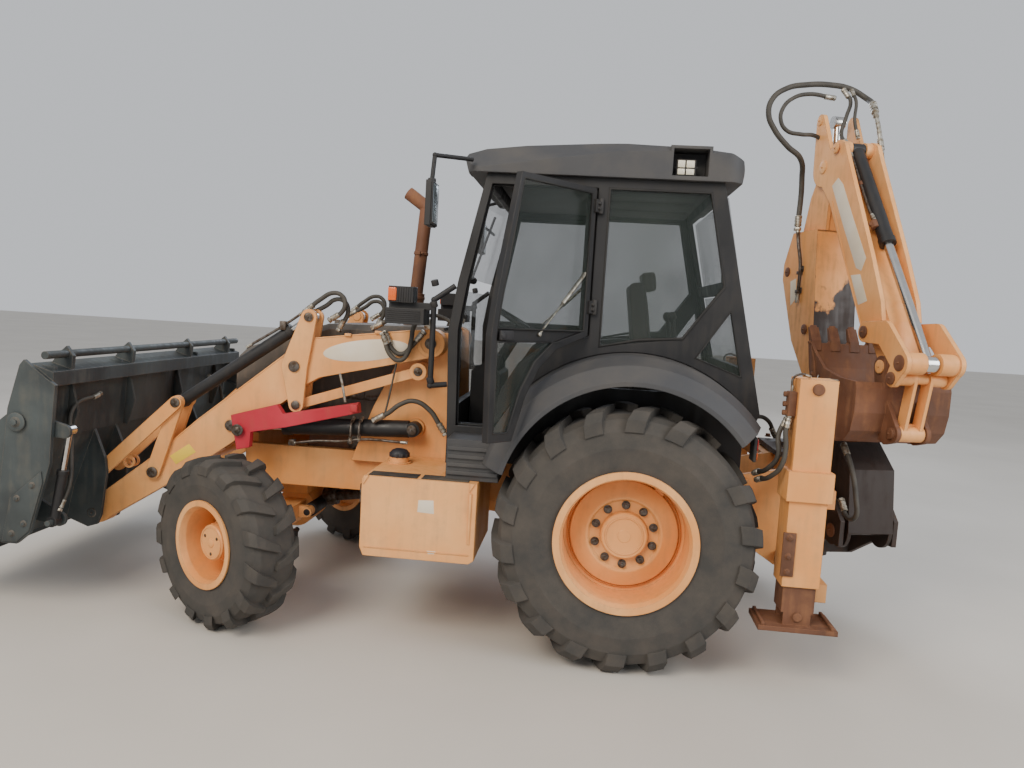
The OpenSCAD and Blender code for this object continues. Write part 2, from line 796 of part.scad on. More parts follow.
// A sliding leg with its foot, raised
module stabiliser(side) {
    w = stabiliser_w / 2 - 12 - run;
    translate([stabiliser_x, side * stabiliser_y, 0]) {
        color("sienna")
            difference() {
                block([-w, -78 + run, foot_lift + 90], [w, 78 - run, 1400]);
                block([-w + 12, -64, foot_lift + 80], [w - 12, 64, 1390]);
            }
        color("saddlebrown") {
            pin([0, foot_lift + 70], 30, -78, 78);
            both()
                block([-70, 62, foot_lift + 20], [70, 78 - run, foot_lift + 91]);
            block([-200, -120, foot_lift], [200, 120, foot_lift + 26]);
        }
    }
}

// Doors: shape in the side view, hinged at the rear

door_hinge = [243, 775];

function door_pane() = [[300, 1800], [300, 2550], [825, 2550], [918, 2036], [955, 1761], [945, 1270],
    [845, 1270], off_arch(39.6, 146), off_arch(49.1, 182), off_arch(58.2, 188)];

// Carries the left door from shut to where it stands at rest
module swing_left_door() {
    translate([door_hinge[0], door_hinge[1], 0])
        rotate([0, 0, door_rest])
            translate([-door_hinge[0], -door_hinge[1], 0])
                children();
}

module door() {
    color("black") {
        difference() {
            slab(cab_y - cab_wall + 5, cab_y)
                polygon(door_opening(gap));
            slab(cab_y - cab_wall, cab_y + 1)
                polygon(door_pane());
        }
        slab(cab_y - cab_wall + 8, cab_y - 20)
            polygon([[299, 1800], [299, 1776], [400, 1750], [470, 1735], [952, 1735], [952, 1800]]);
        for (z = [1900, 2450]) {
            translate([door_hinge[0], door_hinge[1], z])
                cylinder(h = 70, r = 12);
            block([door_hinge[0], door_hinge[1] - 8, z], [285, door_hinge[1] + 2, z + 70]);
            block([270, cab_y - 10, z], [285, door_hinge[1] + 2, z + 70]);
        }
    }
}

module door_glass() {
    color("darkslategray") {
        slab(cab_y - 14, cab_y - 14 + glass_t)
            difference() {
                polygon(door_pane());
                translate([250, 1734.7])
                    square([750, 65.6]);
            }
    }
}

// Loader

module arm_outline() {
    polygon([[1195, 1750], [1325, 1736], [1916, 1655], [2076, 1556], [2632, 1107], [2906, 864],
        [3257, 590], [3281, 392], [2783, 708], [2399, 986], [2190, 1180], [2058, 1276], [1950, 1371],
        [1869, 1418], [1195, 1580]]);
    disc(arm_pivot, 85);
    disc(bucket_pin, 80);
}

module loader_arms() {
    y0 = arm_y - arm_t / 2;
    y1 = arm_y + arm_t / 2;
    color("sandybrown") {
        both()
            difference() {
                union() {
                    slab(y0, y1)
                        arm_outline();
                    pin(lift_pin, 40, y1 - 1, y1 + 8);
                }
                for (p = [arm_pivot, bellcrank_pivot, lever_pivot, bucket_pin])
                    pin(p, loader_pin_r + run, y0 - 20, y1 + 20);
                slab(arm_y - 30, arm_y + 30)
                    polygon([[1880, 900], [2420, 900], [2530, 960], [2540, 1150], [2440, 1230], [2200, 1290],
                        [1880, 1340]]);
            }
        pin([2700, 870], 75, -y0 - 1, y0 + 1);
    }
}

module safety_strut() {
    y0 = link_out + link_t + gap;
    color("crimson")
        both()
            slab(y0, y0 + 45)
                polygon([[2387, 1160], [2100, 1245], [2060, 1190], [1600, 1290], [1590, 1230], [2040, 1110],
                    [2260, 1065], [2266, 970], [2346, 951]]);
    color("gray")
        both()
            pin([2335, 1075], 22, arm_y + arm_t / 2 + 0.3, y0 + 1);
}

module lift_barrels() {
    color("black")
        both() {
            barrel(lift_base, lift_pin, 810, lift_d / 2, 28, arm_y, 84, loader_pin_r);
            pin(lift_base, loader_pin_r + 2, arm_y - lift_d / 2, arm_y + arm_t / 2 + 8);
        }
}

module lift_rods() {
    color("silver")
        both()
            piston(lift_base, lift_pin, 152, 28, arm_y, 42, 50);
}

module bellcranks() {
    color("sandybrown")
        both() {
            for (y = [link_in, link_out])
                slab(y, y + link_t) {
                    link(bellcrank_top, bellcrank_pivot, 48, 80);
                    link(bellcrank_pivot, bellcrank_low, 80, 45);
                }
            pin(bellcrank_pivot, loader_pin_r, link_in, link_out + link_t + 6);
            for (y = [link_in - 4, link_out + link_t - 1], p = [bellcrank_top, bellcrank_low])
                pin(p, 30, y, y + 5);
        }
}

module levelling_links() {
    color("sandybrown")
        both() {
            difference() {
                slab(arm_y - 30, arm_y + 30) {
                    link(level_pin, bellcrank_low, 30, 30);
                    disc(level_pin, 44);
                }
                pin(level_pin, loader_pin_r + run, 0, 900);
            }
            both_sides_of_link();
        }
}

// Spacers that keep the link in the middle of the bellcrank
module both_sides_of_link() {
    for (y = [link_in + link_t + run, arm_y + 29])
        pin(bellcrank_low, 30, y, y + link_out - arm_y - 29 - run);
}

module guide_levers() {
    color("sandybrown")
        both() {
            for (y = [link_in, link_out])
                difference() {
                    slab(y, y + link_t)
                        link(lever_top, lever_pivot, 42, 45);
                    pin(lever_top, loader_pin_r + run, y - 1, y + link_t + 1);
                }
            pin(lever_pivot, loader_pin_r, link_in, link_out + link_t + 6);
        }
}

module bucket_links() {
    color("sandybrown")
        both() {
            for (y = [link_in - link_t - 1, link_out + link_t + 1])
                slab(y, y + link_t)
                    link(lever_top, bucket_link_pin, 40, 42);
            pin(lever_top, loader_pin_r, link_in - link_t - 1, link_out + link_t * 2 + 5);
        }
}

module tilt_barrels() {
    color("black")
        both()
            barrel(lever_top, bellcrank_top, 850, tilt_d / 2, 24, arm_y, 80, loader_pin_r);
}

module tilt_rods() {
    color("silver")
        both()
            piston(lever_top, bellcrank_top, 120, 24, arm_y, 36, 70);
}

// Loader bucket

// Wall of the fixed back part, as an inner and an outer line
function back_wall() = [[3305, 1440], [3235, 1330], [3262, 1010], [3395, 640], [3440, 440], [3460, 444],
    [3418, 646], [3284, 1016], [3257, 1330], [3322, 1420]];

module bucket_side_shape() {
    polygon([[3305, 1470], [3124, 1341], [3147, 1040], [3153, 905], [3270, 505], [3346, 440], [3440, 440],
        [3470, 560], [3420, 1000], [3400, 1200], [3330, 1440]]);
}

module bucket_back() {
    ear_in = link_in - link_t - 1 - gap - 22;
    ear_out = link_out + link_t * 2 + 1 + gap;
    color("darkslategray")
        difference() {
            union() {
                slab(-bucket_y + bucket_t - 1, bucket_y - bucket_t + 1)
                    polygon(back_wall());
                slab(-bucket_y + bucket_t - 1, bucket_y - bucket_t + 1)
                    polygon([[3150, 1330], [3240, 1330], [3310, 1440], [3290, 1450], [3150, 1410]]);
                both() {
                    slab(bucket_y - bucket_t, bucket_y)
                        bucket_side_shape();
                    for (y = [ear_in, ear_out])
                        slab(y, y + 22)
                            polygon([[3262, 1010], [3190, 830], [3180, 740], [3215, 470], [3240, 410],
                                [3300, 390], [3442, 440], [3400, 640]]);
                    for (y = [360, 960])
                        slab(y, y + 25)
                            polygon([[3160, 1400], [3150, 1490], [3190, 1545], [3240, 1500], [3290, 1430]]);
                    slab(bucket_y - 145, bucket_y - 125)
                        link(clam_base, [3360, 620], 40, 70);
                }
                both()
                    pin(clam_pivot, 34, bucket_y - bucket_t - 35, bucket_y + 8);
                pin([3190, 1500], 22, -bucket_y + 10, bucket_y - 10);
            }
            both()
                block([3200, bucket_y - 95, 820], [3300, bucket_y - bucket_t, 1180]);
        }
    color("silver")
        both() {
            pin(bucket_pin, loader_pin_r, ear_in, ear_out + 26);
            pin(clam_base, 16, bucket_y - 126, bucket_y - bucket_t);
        }
}

module clam_side_shape() {
    polygon([[3300, 1170], [3390, 1190], [3560, 1050], [3800, 700], [bucket_front - 40, bucket_floor + 40],
        [bucket_front - 60, bucket_floor + 5], [3500, bucket_floor + 5], [3480, 560], [3390, 880],
        [3300, 1060]]);
    link(clam_pivot, clam_lug, 60, 38);
}

module bucket_clam() {
    y1 = bucket_y - bucket_t - gap;
    color("darkslategray") {
        both()
            difference() {
                slab(y1 - 22, y1)
                    clam_side_shape();
                pin(clam_pivot, 34 + run, y1 - 50, y1 + 10);
            }
        slab(-y1 + 1, y1 - 1)
            polygon([[3475, bucket_floor + 60], [3475, bucket_floor], [bucket_front, bucket_floor],
                [bucket_front - 120, bucket_floor + 28], [3500, bucket_floor + 28], [3495, bucket_floor + 60]]);
        slab(-bucket_y, bucket_y)
            polygon([[bucket_front - 150, bucket_floor - 14], [bucket_front + 20, bucket_floor - 14],
                [bucket_front - 20, bucket_floor + 0.5], [bucket_front - 150, bucket_floor + 0.5]]);
    }
}

module clam_barrels() {
    y = bucket_y - bucket_t - gap - 22 - 32;
    color("black")
        both()
            barrel(clam_base, clam_lug, 300, 26, 16, y, 50, 16);
}

module clam_rods() {
    y = bucket_y - bucket_t - gap - 22 - 32;
    color("silver")
        both()
            piston(clam_base, clam_lug, 238, 16, y, 28, 50);
}

// Backhoe, drawn straight out along +X and carried to its place

module hoe_place() {
    translate([swing_x, swing_y, 0])
        rotate([0, 0, 180 - swing_rest])
            children();
}

swing_pin_r = 38;

module swing_carriage() {
    back = rail_x0 - swing_x;
    color("saddlebrown")
        translate([swing_x, swing_y, 0])
            difference() {
                union() {
                    block([back - 90, -300, 380], [back - 0.5, 300, 1075]);
                    for (z = [[upper_rail[1] + 0.5, upper_rail[1] + 35], [lower_rail[0] - 35, lower_rail[0] - 0.5]])
                        block([back - 1, -300, z[0]], [rail_x1 - swing_x + 20, 300, z[1]]);
                    for (z = [[340, 381], [1074, 1110]]) {
                        block([0, -80, z[0]], [back - 1, 80, z[1]]);
                        translate([0, 0, z[0]])
                            cylinder(h = z[1] - z[0], r = 80);
                    }
                }
                cylinder(h = 1200, r = swing_pin_r + run);
            }
}

module kingpost() {
    hoe_place()
        color("saddlebrown")
            difference() {
                union() {
                    translate([0, 0, 382])
                        cylinder(h = 691, r = 75);
                    translate([0, 0, 335])
                        cylinder(h = 780, r = swing_pin_r);
                    block([0, -boom_y - 16, 385], [135, boom_y + 16, 1060]);
                    both()
                        slab(boom_y + 15, boom_y + 45) {
                            polygon([[20, 385], [135, 385], [420, 560], [590, 560], [590, 720], [250, 1090],
                                [200, 1240], [60, 1240], [-60, 1215], [-60, 1130], [100, 1130],
                                [100, 1060], [20, 1060]]);
                            disc(boom_foot, 90);
                        }
                    both()
                        pin(boom_base_pin, 55, 61, boom_y + 16);
                    pin(boom_base_pin, hoe_pin_r, -boom_y - 16, boom_y + 16);
                }
                pin(boom_foot, hoe_pin_r + run, -300, 300);
            }
}

module boom_outline() {
    polygon([[400, 620], [345, 900], [317, 1046], [-60, 1500], [-315, 1792], [-520, 2230], [-520, 2340],
        [-420, 2560], [-95, 2560], [-70, 2308], [-25, 1880], [48, 1590], [262, 1290], [562, 1039],
        [611, 648]]);
    disc(boom_foot, 105);
}

module boom() {
    nose_y = dipper_y - 40;
    color("sandybrown")
        hoe_place() {
            difference() {
                union() {
                    both()
                        slab(boom_y - boom_t, boom_y)
                            boom_outline();
                    slab(-boom_y + 1, boom_y - 1)
                        polygon([[400, 620], [345, 900], [317, 1046], [100, 1308], [262, 1290], [562, 1039],
                            [611, 648]]);
                    slab(-boom_y + 1, boom_y - 1)
                        polygon([[-88, 2559], [-70, 2308], [-25, 1880], [48, 1590], [262, 1290], [247, 1280],
                            [33, 1578], [-42, 1876], [-88, 2306]]);
                    both() {
                        slab(nose_y - 24, boom_y - 1)
                            polygon([[-415, 2500], [-415, 2558], [-100, 2558], [-95, 2500]]);
                        slab(nose_y - 24, nose_y) {
                            polygon([[-415, 2500], [-330, 2800], [-210, 3010], [-35, 2950], [-90, 2700],
                                [-95, 2500]]);
                            disc(dipper_pivot, 105);
                        }
                        pin(boom_lift_pin, 60, 50, boom_y - 1);
                        pin(crowd_base, 45, 50, boom_y - 1);
                    }
                    pin(crowd_base, hoe_pin_r, -boom_y + 1, boom_y + 10);
                    slab(-nose_y + 1, nose_y - 1)
                        polygon([[-118, 2740], [-104, 2740], [-98, 2540], [-112, 2540]]);
                }
                pin(dipper_pivot, hoe_pin_r + run, -300, 300);
            }
            pin(boom_foot, hoe_pin_r, -boom_y - 50, boom_y + 50);
        }
}

// Hose over the head of the dipper, with the steel pipes that hold its ends to the boom's sides
function hose_path() = [[-260, -230, 3050], [-260, -336, 3127], [-260, -445, 3234], [-260, -494, 3328],
    [-260, -478, 3428], [-260, -383, 3509], [-260, -230, 3550], [-260, -63, 3565], [-260, 88, 3555],
    [-245, 190, 3507]];
function hose_left() = [[-250, -166, 2080], [-250, -166, 2330], [-328, -172, 2600], [-328, -172, 2930]];
function hose_right() = [[-79, 172, 3375], [-24, 172, 3275], [55, 172, 3068], [113, 172, 2903],
    [40, 172, 2700], [-190, 166, 2500], [-190, 166, 2380]];

// Round tube through points in space, with a ball at each bend
module run_of_tube(points, r) {
    for (i = [0 : len(points) - 2]) {
        tube(points[i], points[i + 1], r);
        if (i > 0)
            knot(points[i], r);
    }
}

module boom_hose() {
    left = hose_left();
    right = hose_right();
    color("black")
        hoe_place() {
            run_of_tube(concat([left[2], left[3]], hose_path(), [right[0], right[1], right[2]]), hose_r);
            run_of_tube([left[0], left[1], left[2], left[3]], pipe_r);
            run_of_tube([right[1], right[2], right[3], right[4], right[5], right[6]], pipe_r);
            for (p = [left[0] + [0, 0, 60], left[1] + [0, 0, -60]])
                block(p + [-16, -pipe_r - 4, -14], p + [16, -boom_y - p[1] - 0.3, 14]);
            for (p = [right[5] + [0, 0, -30], right[6] + [0, 0, 20]])
                block(p + [-16, boom_y - p[1] + 0.3, -14], p + [16, pipe_r + 4, 14]);
        }
}

module boom_barrel() {
    color("black")
        hoe_place()
            barrel(boom_base_pin, boom_lift_pin, 1050, 55, 30, 0, 96, hoe_pin_r);
}

module boom_rod() {
    color("silver")
        hoe_place()
            piston(boom_base_pin, boom_lift_pin, 90, 30, 0, 48, 84);
}

// A point at distance t along the curl cylinder and d outside its axis
function curl(t, d) = curl_base + (guide_tube - curl_base) * t / norm(guide_tube - curl_base)
    + turn(guide_tube - curl_base, 90) * d / norm(guide_tube - curl_base);

// Side plate of the dipper, with the head that carries the crowd and curl pins
module dipper_plate() {
    polygon([[-260, 2990], [-270, 3310], [-224, 3352], [-180, 3320], [-60, 3085], [50, 3128],
        curl(20, 75), curl(144, 59), curl(395, 35), curl(637, 12), curl(869, -11), curl(1180, -52),
        [700, 1960], [504, 1894], [249, 2310], [-10, 2731], [-130, 2850]]);
    disc(dipper_pivot, 130);
    disc(crowd_pin, 45);
    disc(curl_base, 55);
}

module dipper() {
    color("sandybrown")
        hoe_place() {
            difference() {
                union() {
                    slab(-dipper_y + 1, dipper_y - 1)
                        polygon([curl(330, -64), curl(1180, -64), [700, 1960], [504, 1894], [249, 2310],
                            [30, 2665]]);
                    both()
                        slab(dipper_y - 30, dipper_y)
                            dipper_plate();
                    slab(-95, 95)
                        polygon([curl(1150, -70), [722, 1960], [782, 1760], [790, 1700], [670, 1690],
                            [600, 1790], [500, 1900], [600, 2080]]);
                    pin(hoe_pin, 72, -95, 95);
                    pin(guide_pivot, 62, -149.5, 149.5);
                    pin(dipper_pivot, hoe_pin_r, -dipper_y, dipper_y);
                    pin(curl_base, hoe_pin_r, -dipper_y, dipper_y + 14);
                    both()
                        pin(curl_base, 50, 50, dipper_y - 29);
                }
                for (p = [hoe_pin, guide_pivot])
                    pin(p, hoe_pin_r + run, -300, 300);
            }
        }
}

module dipper_barrel() {
    color("black")
        hoe_place()
            barrel(crowd_base, crowd_pin, 780, 48, 28, 0, 90, hoe_pin_r);
}

module dipper_rod() {
    color("silver")
        hoe_place()
            piston(crowd_base, crowd_pin, 610, 28, 0, 42, 80);
}

module hoe_barrel() {
    color("black")
        hoe_place()
            barrel(curl_base, guide_tube, 790, 45, 28, 0, 90, hoe_pin_r);
}

module hoe_rod() {
    color("silver")
        hoe_place()
            piston(curl_base, guide_tube, 660, 28, 0, 46, 70);
}

// Curved guide links on both sides of the dipper's nose, joined by a tube
module guide_links() {
    mid = [795, 1890];
    color("sandybrown")
        hoe_place() {
            both()
                slab(150, 180) {
                    link(guide_pivot, mid, 62, 70);
                    link(mid, guide_tube, 70, 70);
                    link(guide_tube, guide_pin, 66, 50);
                }
            both()
                pin(guide_tube, 62, 44, 151);
            pin(guide_pivot, hoe_pin_r, -186, 186);
            pin(guide_pin, hoe_pin_r, -186, 186);
        }
}

module push_link() {
    color("sandybrown")
        hoe_place()
            difference() {
                union() {
                    both() {
                        slab(38, 60)
                            link(guide_pin, ear_pin, 38, 36);
                        slab(59, 143)
                            disc(guide_pin, 38);
                    }
                    slab(-39, 39)
                        polygon([ear_pin + [-20, 60], ear_pin + [-4, 58], ear_pin + [16, 0], ear_pin + [-30, 0]]);
                    slab(-75, 75)
                        disc(ear_pin, 46);
                }
                pin(guide_pin, hoe_pin_r + run, -300, 300);
            }
}

// Shell of the bucket in the side view, outer and then inner line
function hoe_shell() = [[205, 1800], [240, 1640], [320, 1450], [440, 1300], [600, 1220], [700, 1240],
    [765, 1310], [790, 1420], [790, 1560], [778, 1600], [757, 1594], [768, 1550], [768, 1424], [745, 1320],
    [690, 1262], [604, 1243], [454, 1318], [340, 1460], [262, 1645], [235, 1800]];
function hoe_cheek() = [[205, 1800], [240, 1640], [320, 1450], [440, 1300], [600, 1220], [700, 1240],
    [765, 1310], [790, 1420], [790, 1560], [778, 1600], [600, 1610], [420, 1650], [300, 1740], [235, 1800]];

module hoe_bucket() {
    hinge_y = 101;
    ear_y = 81;
    color("saddlebrown")
        hoe_place() {
            slab(-hoe_bucket_y + 1, hoe_bucket_y - 1)
                polygon(hoe_shell());
            both() {
                slab(hoe_bucket_y - 20, hoe_bucket_y)
                    polygon(hoe_cheek());
                slab(hinge_y, hinge_y + 30) {
                    disc(hoe_pin, 65);
                    polygon([hoe_pin + [62, 20], hoe_pin + [-60, -20], [700, 1560], [750, 1440], [789, 1440],
                        [789, 1600]]);
                }
                slab(ear_y, ear_y + 26) {
                    polygon([[740, 1264], [800, 1240], [880, 1262], [918, 1320], [890, 1368], [789, 1500],
                        [780, 1400]]);
                    disc(ear_pin, 54);
                }
                pin(ear_pin, 34, ear_y + 25, ear_y + 36);
            }
            pin(hoe_pin, hoe_pin_r, -hinge_y - 36, hinge_y + 36);
            for (i = [-2 : 2])
                translate([0, i * (hoe_bucket_y - 40) / 2, 0])
                    slab(-32, 32)
                        polygon([[200, 1750], [196, 1810], [172, 1895], [186, 1899], [236, 1815], [250, 1750]]);
        }
}

translate([-ref_x, -ref_y, 0]) {
    chassis_frame();
    engine_block();
    hood();
    exhaust_stack();
    cab_frame();
    cab_roof();
    cab_glass();
    operator_seat();
    dash_console();
    fenders();
    side_boxes();
    lamps_mirrors();
    rear_axle();
    front_axle();
    rear_frame();
    swing_left_door() door();  // door_left
    swing_left_door() door_glass();  // door_left_glass
    mirror([0, 1, 0]) door();  // door_right
    mirror([0, 1, 0]) door_glass();  // door_right_glass
    knuckle(1);  // knuckle_left
    knuckle(-1);  // knuckle_right
    rear_tyre(1);  // tyre_rear_left
    rear_tyre(-1);  // tyre_rear_right
    front_tyre(1);  // tyre_front_left
    front_tyre(-1);  // tyre_front_right
    rear_rim(1);  // rim_rear_left
    rear_rim(-1);  // rim_rear_right
    front_rim(1);  // rim_front_left
    front_rim(-1);  // rim_front_right
    loader_arms();
    safety_strut();
    lift_barrels();
    lift_rods();
    bellcranks();
    levelling_links();
    tilt_barrels();
    tilt_rods();
    guide_levers();
    bucket_links();
    bucket_back();
    bucket_clam();
    clam_barrels();
    clam_rods();
    swing_carriage();
    kingpost();
    boom();
    boom_hose();
    boom_barrel();
    boom_rod();
    dipper();
    dipper_barrel();
    dipper_rod();
    hoe_barrel();
    hoe_rod();
    guide_links();
    push_link();
    hoe_bucket();
    stabiliser(1);  // stabiliser_left
    stabiliser(-1);  // stabiliser_right
}
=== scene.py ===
import json
from math import atan2, cos, pi, radians, sin

import bmesh
import bpy
from mathutils import Matrix, Vector


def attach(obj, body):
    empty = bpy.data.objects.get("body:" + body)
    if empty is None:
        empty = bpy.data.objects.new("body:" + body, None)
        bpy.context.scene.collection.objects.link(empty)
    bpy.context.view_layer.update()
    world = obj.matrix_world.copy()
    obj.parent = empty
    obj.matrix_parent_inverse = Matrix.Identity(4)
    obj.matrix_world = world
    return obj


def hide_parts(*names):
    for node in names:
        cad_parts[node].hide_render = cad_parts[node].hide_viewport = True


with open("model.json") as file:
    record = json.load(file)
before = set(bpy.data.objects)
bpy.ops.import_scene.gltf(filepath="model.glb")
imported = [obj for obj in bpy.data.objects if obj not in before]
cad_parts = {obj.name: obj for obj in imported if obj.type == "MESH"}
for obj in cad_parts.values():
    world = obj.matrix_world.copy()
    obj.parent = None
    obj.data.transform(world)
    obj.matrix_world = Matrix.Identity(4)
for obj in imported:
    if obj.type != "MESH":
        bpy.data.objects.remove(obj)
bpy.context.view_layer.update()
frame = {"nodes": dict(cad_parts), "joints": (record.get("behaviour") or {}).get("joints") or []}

# The yard: a plain pale floor, a broad warm key light from the front left, a cool fill from
# the back, and the camera where the photographer stood, about 4 m off the left rear wheel.
joint = {j["name"]: j for j in frame["joints"]}
node = frame["nodes"]


def pivot(name):
    """Place of a joint's axis, in metres"""
    return Vector(joint[name]["pos_m"])


left_wheel = pivot("roll_rear_left")
right_wheel = pivot("roll_rear_right")
DATUM = Vector((left_wheel.x, (left_wheel.y + right_wheel.y) / 2, 0))


def spot(x, y, z):
    """A point given in metres from the ground below the middle of the rear axle"""
    return DATUM + Vector((x, y, z))


def hexed(code):
    """The linear colour of an sRGB hex value"""
    parts = [int(code[i:i + 2], 16) / 255 for i in (1, 3, 5)]
    return [c / 12.92 if c <= 0.04045 else ((c + 0.055) / 1.055) ** 2.4 for c in parts] + [1]


def put(mat, kind, inputs=None, **settings):
    """Add a node with its settings; an input is a value, or a node and the name of its output"""
    new = mat.node_tree.nodes.new("ShaderNode" + kind)
    for key, value in settings.items():
        setattr(new, key, value)
    for key, value in (inputs or {}).items():
        if isinstance(value, tuple):
            mat.node_tree.links.new(value[0].outputs[value[1]], new.inputs[key])
        else:
            new.inputs[key].default_value = value
    return new


def blank(name):
    """A new material that holds only the object's own coordinates, in metres"""
    mat = bpy.data.materials.new(name)
    mat.use_nodes = True
    mat.node_tree.nodes.clear()
    return mat, put(mat, "TexCoord")


def noise(mat, coords, scale, detail, rough=0.5):
    """Clouds that come `scale` times in a metre"""
    return put(mat, "TexNoise", {"Vector": (coords, "Object"), "Scale": scale, "Detail": detail,
        "Roughness": rough})


def ranged(mat, source, low, high, to_low=0.0, to_high=1.0):
    """Stretch what lies between two values over two others"""
    return put(mat, "MapRange", {"Value": (source, 0), "From Min": low, "From Max": high,
        "To Min": to_low, "To Max": to_high})


def mix(mat, factor, first, second):
    """Blend two colours, each a hex value or the node of another blend"""
    first, second = (hexed(c) if isinstance(c, str) else (c, 2) for c in (first, second))
    return put(mat, "Mix", {0: (factor, 0), 6: first, 7: second}, data_type="RGBA")


def finish(mat, inputs):
    """Close a material with its shader and output"""
    shader = put(mat, "BsdfPrincipled", inputs)
    put(mat, "OutputMaterial", {"Surface": (shader, 0)})
    return mat


def dress(names, mat):
    """Give CAD nodes their material"""
    for name in names:
        node[name].data.materials.clear()
        node[name].data.materials.append(mat)


def poured_floor():
    """Pale poured concrete, trowelled smooth, with faint cloudy patches"""
    mat, coords = blank("poured_floor")
    cloud = noise(mat, coords, 0.7, 6)
    tone = mix(mat, cloud, "#B9B4AC", "#CFCAC2")
    return finish(mat, {"Base Color": (tone, 2), "Roughness": 0.75})


mesh = bpy.data.meshes.new("floor")
bm = bmesh.new()
bmesh.ops.create_grid(bm, x_segments=1, y_segments=1, size=40)
bm.to_mesh(mesh)
bm.free()
floor = bpy.data.objects.new("floor", mesh)
bpy.context.collection.objects.link(floor)
floor.data.materials.append(poured_floor())

for name, place, aim, size, power, colour in (
        ("key", (3.5, 8.0, 7.5), (0, 0, 1), 5.0, 900, "#FFF3E2"),
        ("side", (-8.0, 5.0, 5.0), (0, 0, 1), 5.0, 420, "#FFFFFF"),
        ("back", (0.0, -9.0, 7.0), (0, 0, 1), 6.0, 500, "#E8F1FF")):
    data = bpy.data.lights.new(name, "AREA")
    data.size = size
    data.energy = power
    data.color = hexed(colour)[:3]
    lamp = bpy.data.objects.new(name, data)
    lamp.location = place
    lamp.rotation_euler = (Vector(aim) - Vector(place)).to_track_quat("-Z", "Y").to_euler()
    bpy.context.collection.objects.link(lamp)

world = bpy.data.worlds.new("sky")
bpy.context.scene.world = world
world.use_nodes = True
world.node_tree.nodes["Background"].inputs["Color"].default_value = hexed("#F2F5FA")
world.node_tree.nodes["Background"].inputs["Strength"].default_value = 0.75

# The photographer's eye height, the turn of the camera and its lens, fitted to the wheels
camera_data = bpy.data.cameras.new("camera")
camera_data.sensor_width = 36
camera_data.lens = 27.78
camera = bpy.data.objects.new("camera", camera_data)
camera.location = spot(0.264, 5.183, 1.898)
camera.rotation_euler = (radians(84.595), radians(-3.376), radians(-174.369))
bpy.context.collection.objects.link(camera)
bpy.context.scene.camera = camera

# Painted steelwork: rolled plate, welded and sprayed in an orange-tan machine enamel that has
# chalked in the sun, with red dust in the corners and rust where edges and stones have bared it.


def painted_steel(name, paint, chalked, bared, dust, edge=0.55, dirt=0.5, gloss=0.42, side=None):
    """Sprayed enamel on steel: chalking in half-metre clouds, rain streaks, chips and worn edges; where
    asked, one face darker below a height and all faces darker below a lower one as painted shade
    """
    mat, coords = blank(name)
    cloud = noise(mat, coords, 2.2, 7)
    faded = ranged(mat, cloud, 0.38, 0.68)
    coat = mix(mat, faded, paint, chalked)
    # Rain draws the dust down in streaks about 4 cm wide
    stretched = put(mat, "Mapping", {"Vector": (coords, "Object"), "Scale": [26, 26, 2.2]})
    streak = put(mat, "TexNoise", {"Vector": (stretched, 0), "Scale": 1.0, "Detail": 5})
    grime = noise(mat, coords, 9, 9, 0.65)
    both = put(mat, "Math", {0: (streak, 0), 1: (grime, 0)}, operation="MULTIPLY")
    dusted = ranged(mat, both, 0.24, 0.46, 0, dirt)
    soiled = mix(mat, dusted, coat, dust)
    if side:
        # One face turns dark below a height, and all faces turn dark below a lower one, a painted shade
        way, high, low, colour = side
        lie = put(mat, "NewGeometry")
        faces = put(mat, "VectorMath", {0: (lie, "True Normal"), 1: list(way)}, operation="DOT_PRODUCT")
        height = put(mat, "SeparateXYZ", {0: (coords, "Object")})
        ragged = noise(mat, coords, 3.4, 8)
        shifted = put(mat, "Math", {0: (ragged, 0), 1: 1.3, 2: (height, "Z")}, operation="MULTIPLY_ADD")
        above = ranged(mat, shifted, high + 0.67, high + 0.63)
        turned_to = put(mat, "Math", {0: (faces, "Value"), 1: 0.25}, operation="GREATER_THAN")
        there = put(mat, "Math", {0: (above, 0), 1: (turned_to, 0)}, operation="MULTIPLY")
        below = ranged(mat, shifted, low + 0.67, low + 0.6)
        dark_face_and_painted_shade = put(mat, "Math", {0: (there, 0), 1: (below, 0)}, operation="MAXIMUM")
        soiled = mix(mat, dark_face_and_painted_shade, soiled, colour)
    # Edges within 7 mm of a corner wear first
    soft = put(mat, "Bevel", {"Radius": 0.007}, samples=4)
    true = put(mat, "NewGeometry")
    facing = put(mat, "VectorMath", {0: (soft, 0), 1: (true, "True Normal")}, operation="DOT_PRODUCT")
    scratch = noise(mat, coords, 34, 8)
    worn = put(mat, "Math", {0: (scratch, 0), 1: -0.35, 2: (facing, "Value")}, operation="MULTIPLY_ADD")
    bare_edge = ranged(mat, worn, 0.70, 0.64, 0, edge)
    chip = noise(mat, coords, 13, 12, 0.62)
    chipped = ranged(mat, chip, 0.735, 0.75, 0, edge)
    bare = put(mat, "Math", {0: (bare_edge, 0), 1: (chipped, 0)}, operation="MAXIMUM")
    skin = mix(mat, bare, soiled, bared)
    rough = ranged(mat, both, 0.15, 0.4, gloss, gloss + 0.3)
    peel = noise(mat, coords, 120, 3)
    relief = put(mat, "Math", {0: (peel, 0), 1: (bare, 0)}, operation="SUBTRACT")
    bump = put(mat, "Bump", {"Height": (relief, 0), "Strength": 0.10, "Distance": 0.002,
        "Normal": (soft, 0)})
    return finish(mat, {"Base Color": (skin, 2), "Roughness": (rough, 0), "Normal": (bump, 0)})


enamel = painted_steel("orange_enamel", "#E39A55", "#EFB274", "#5A3A26", "#B98B60")
dress(["chassis_frame", "side_boxes", "rear_axle", "front_axle", "rear_frame", "knuckle_left",
       "knuckle_right", "rim_rear_left", "rim_rear_right", "rim_front_left", "rim_front_right",
       "loader_arms", "bellcranks", "levelling_links", "guide_levers", "bucket_links", "dipper",
       "guide_links", "push_link"], enamel)
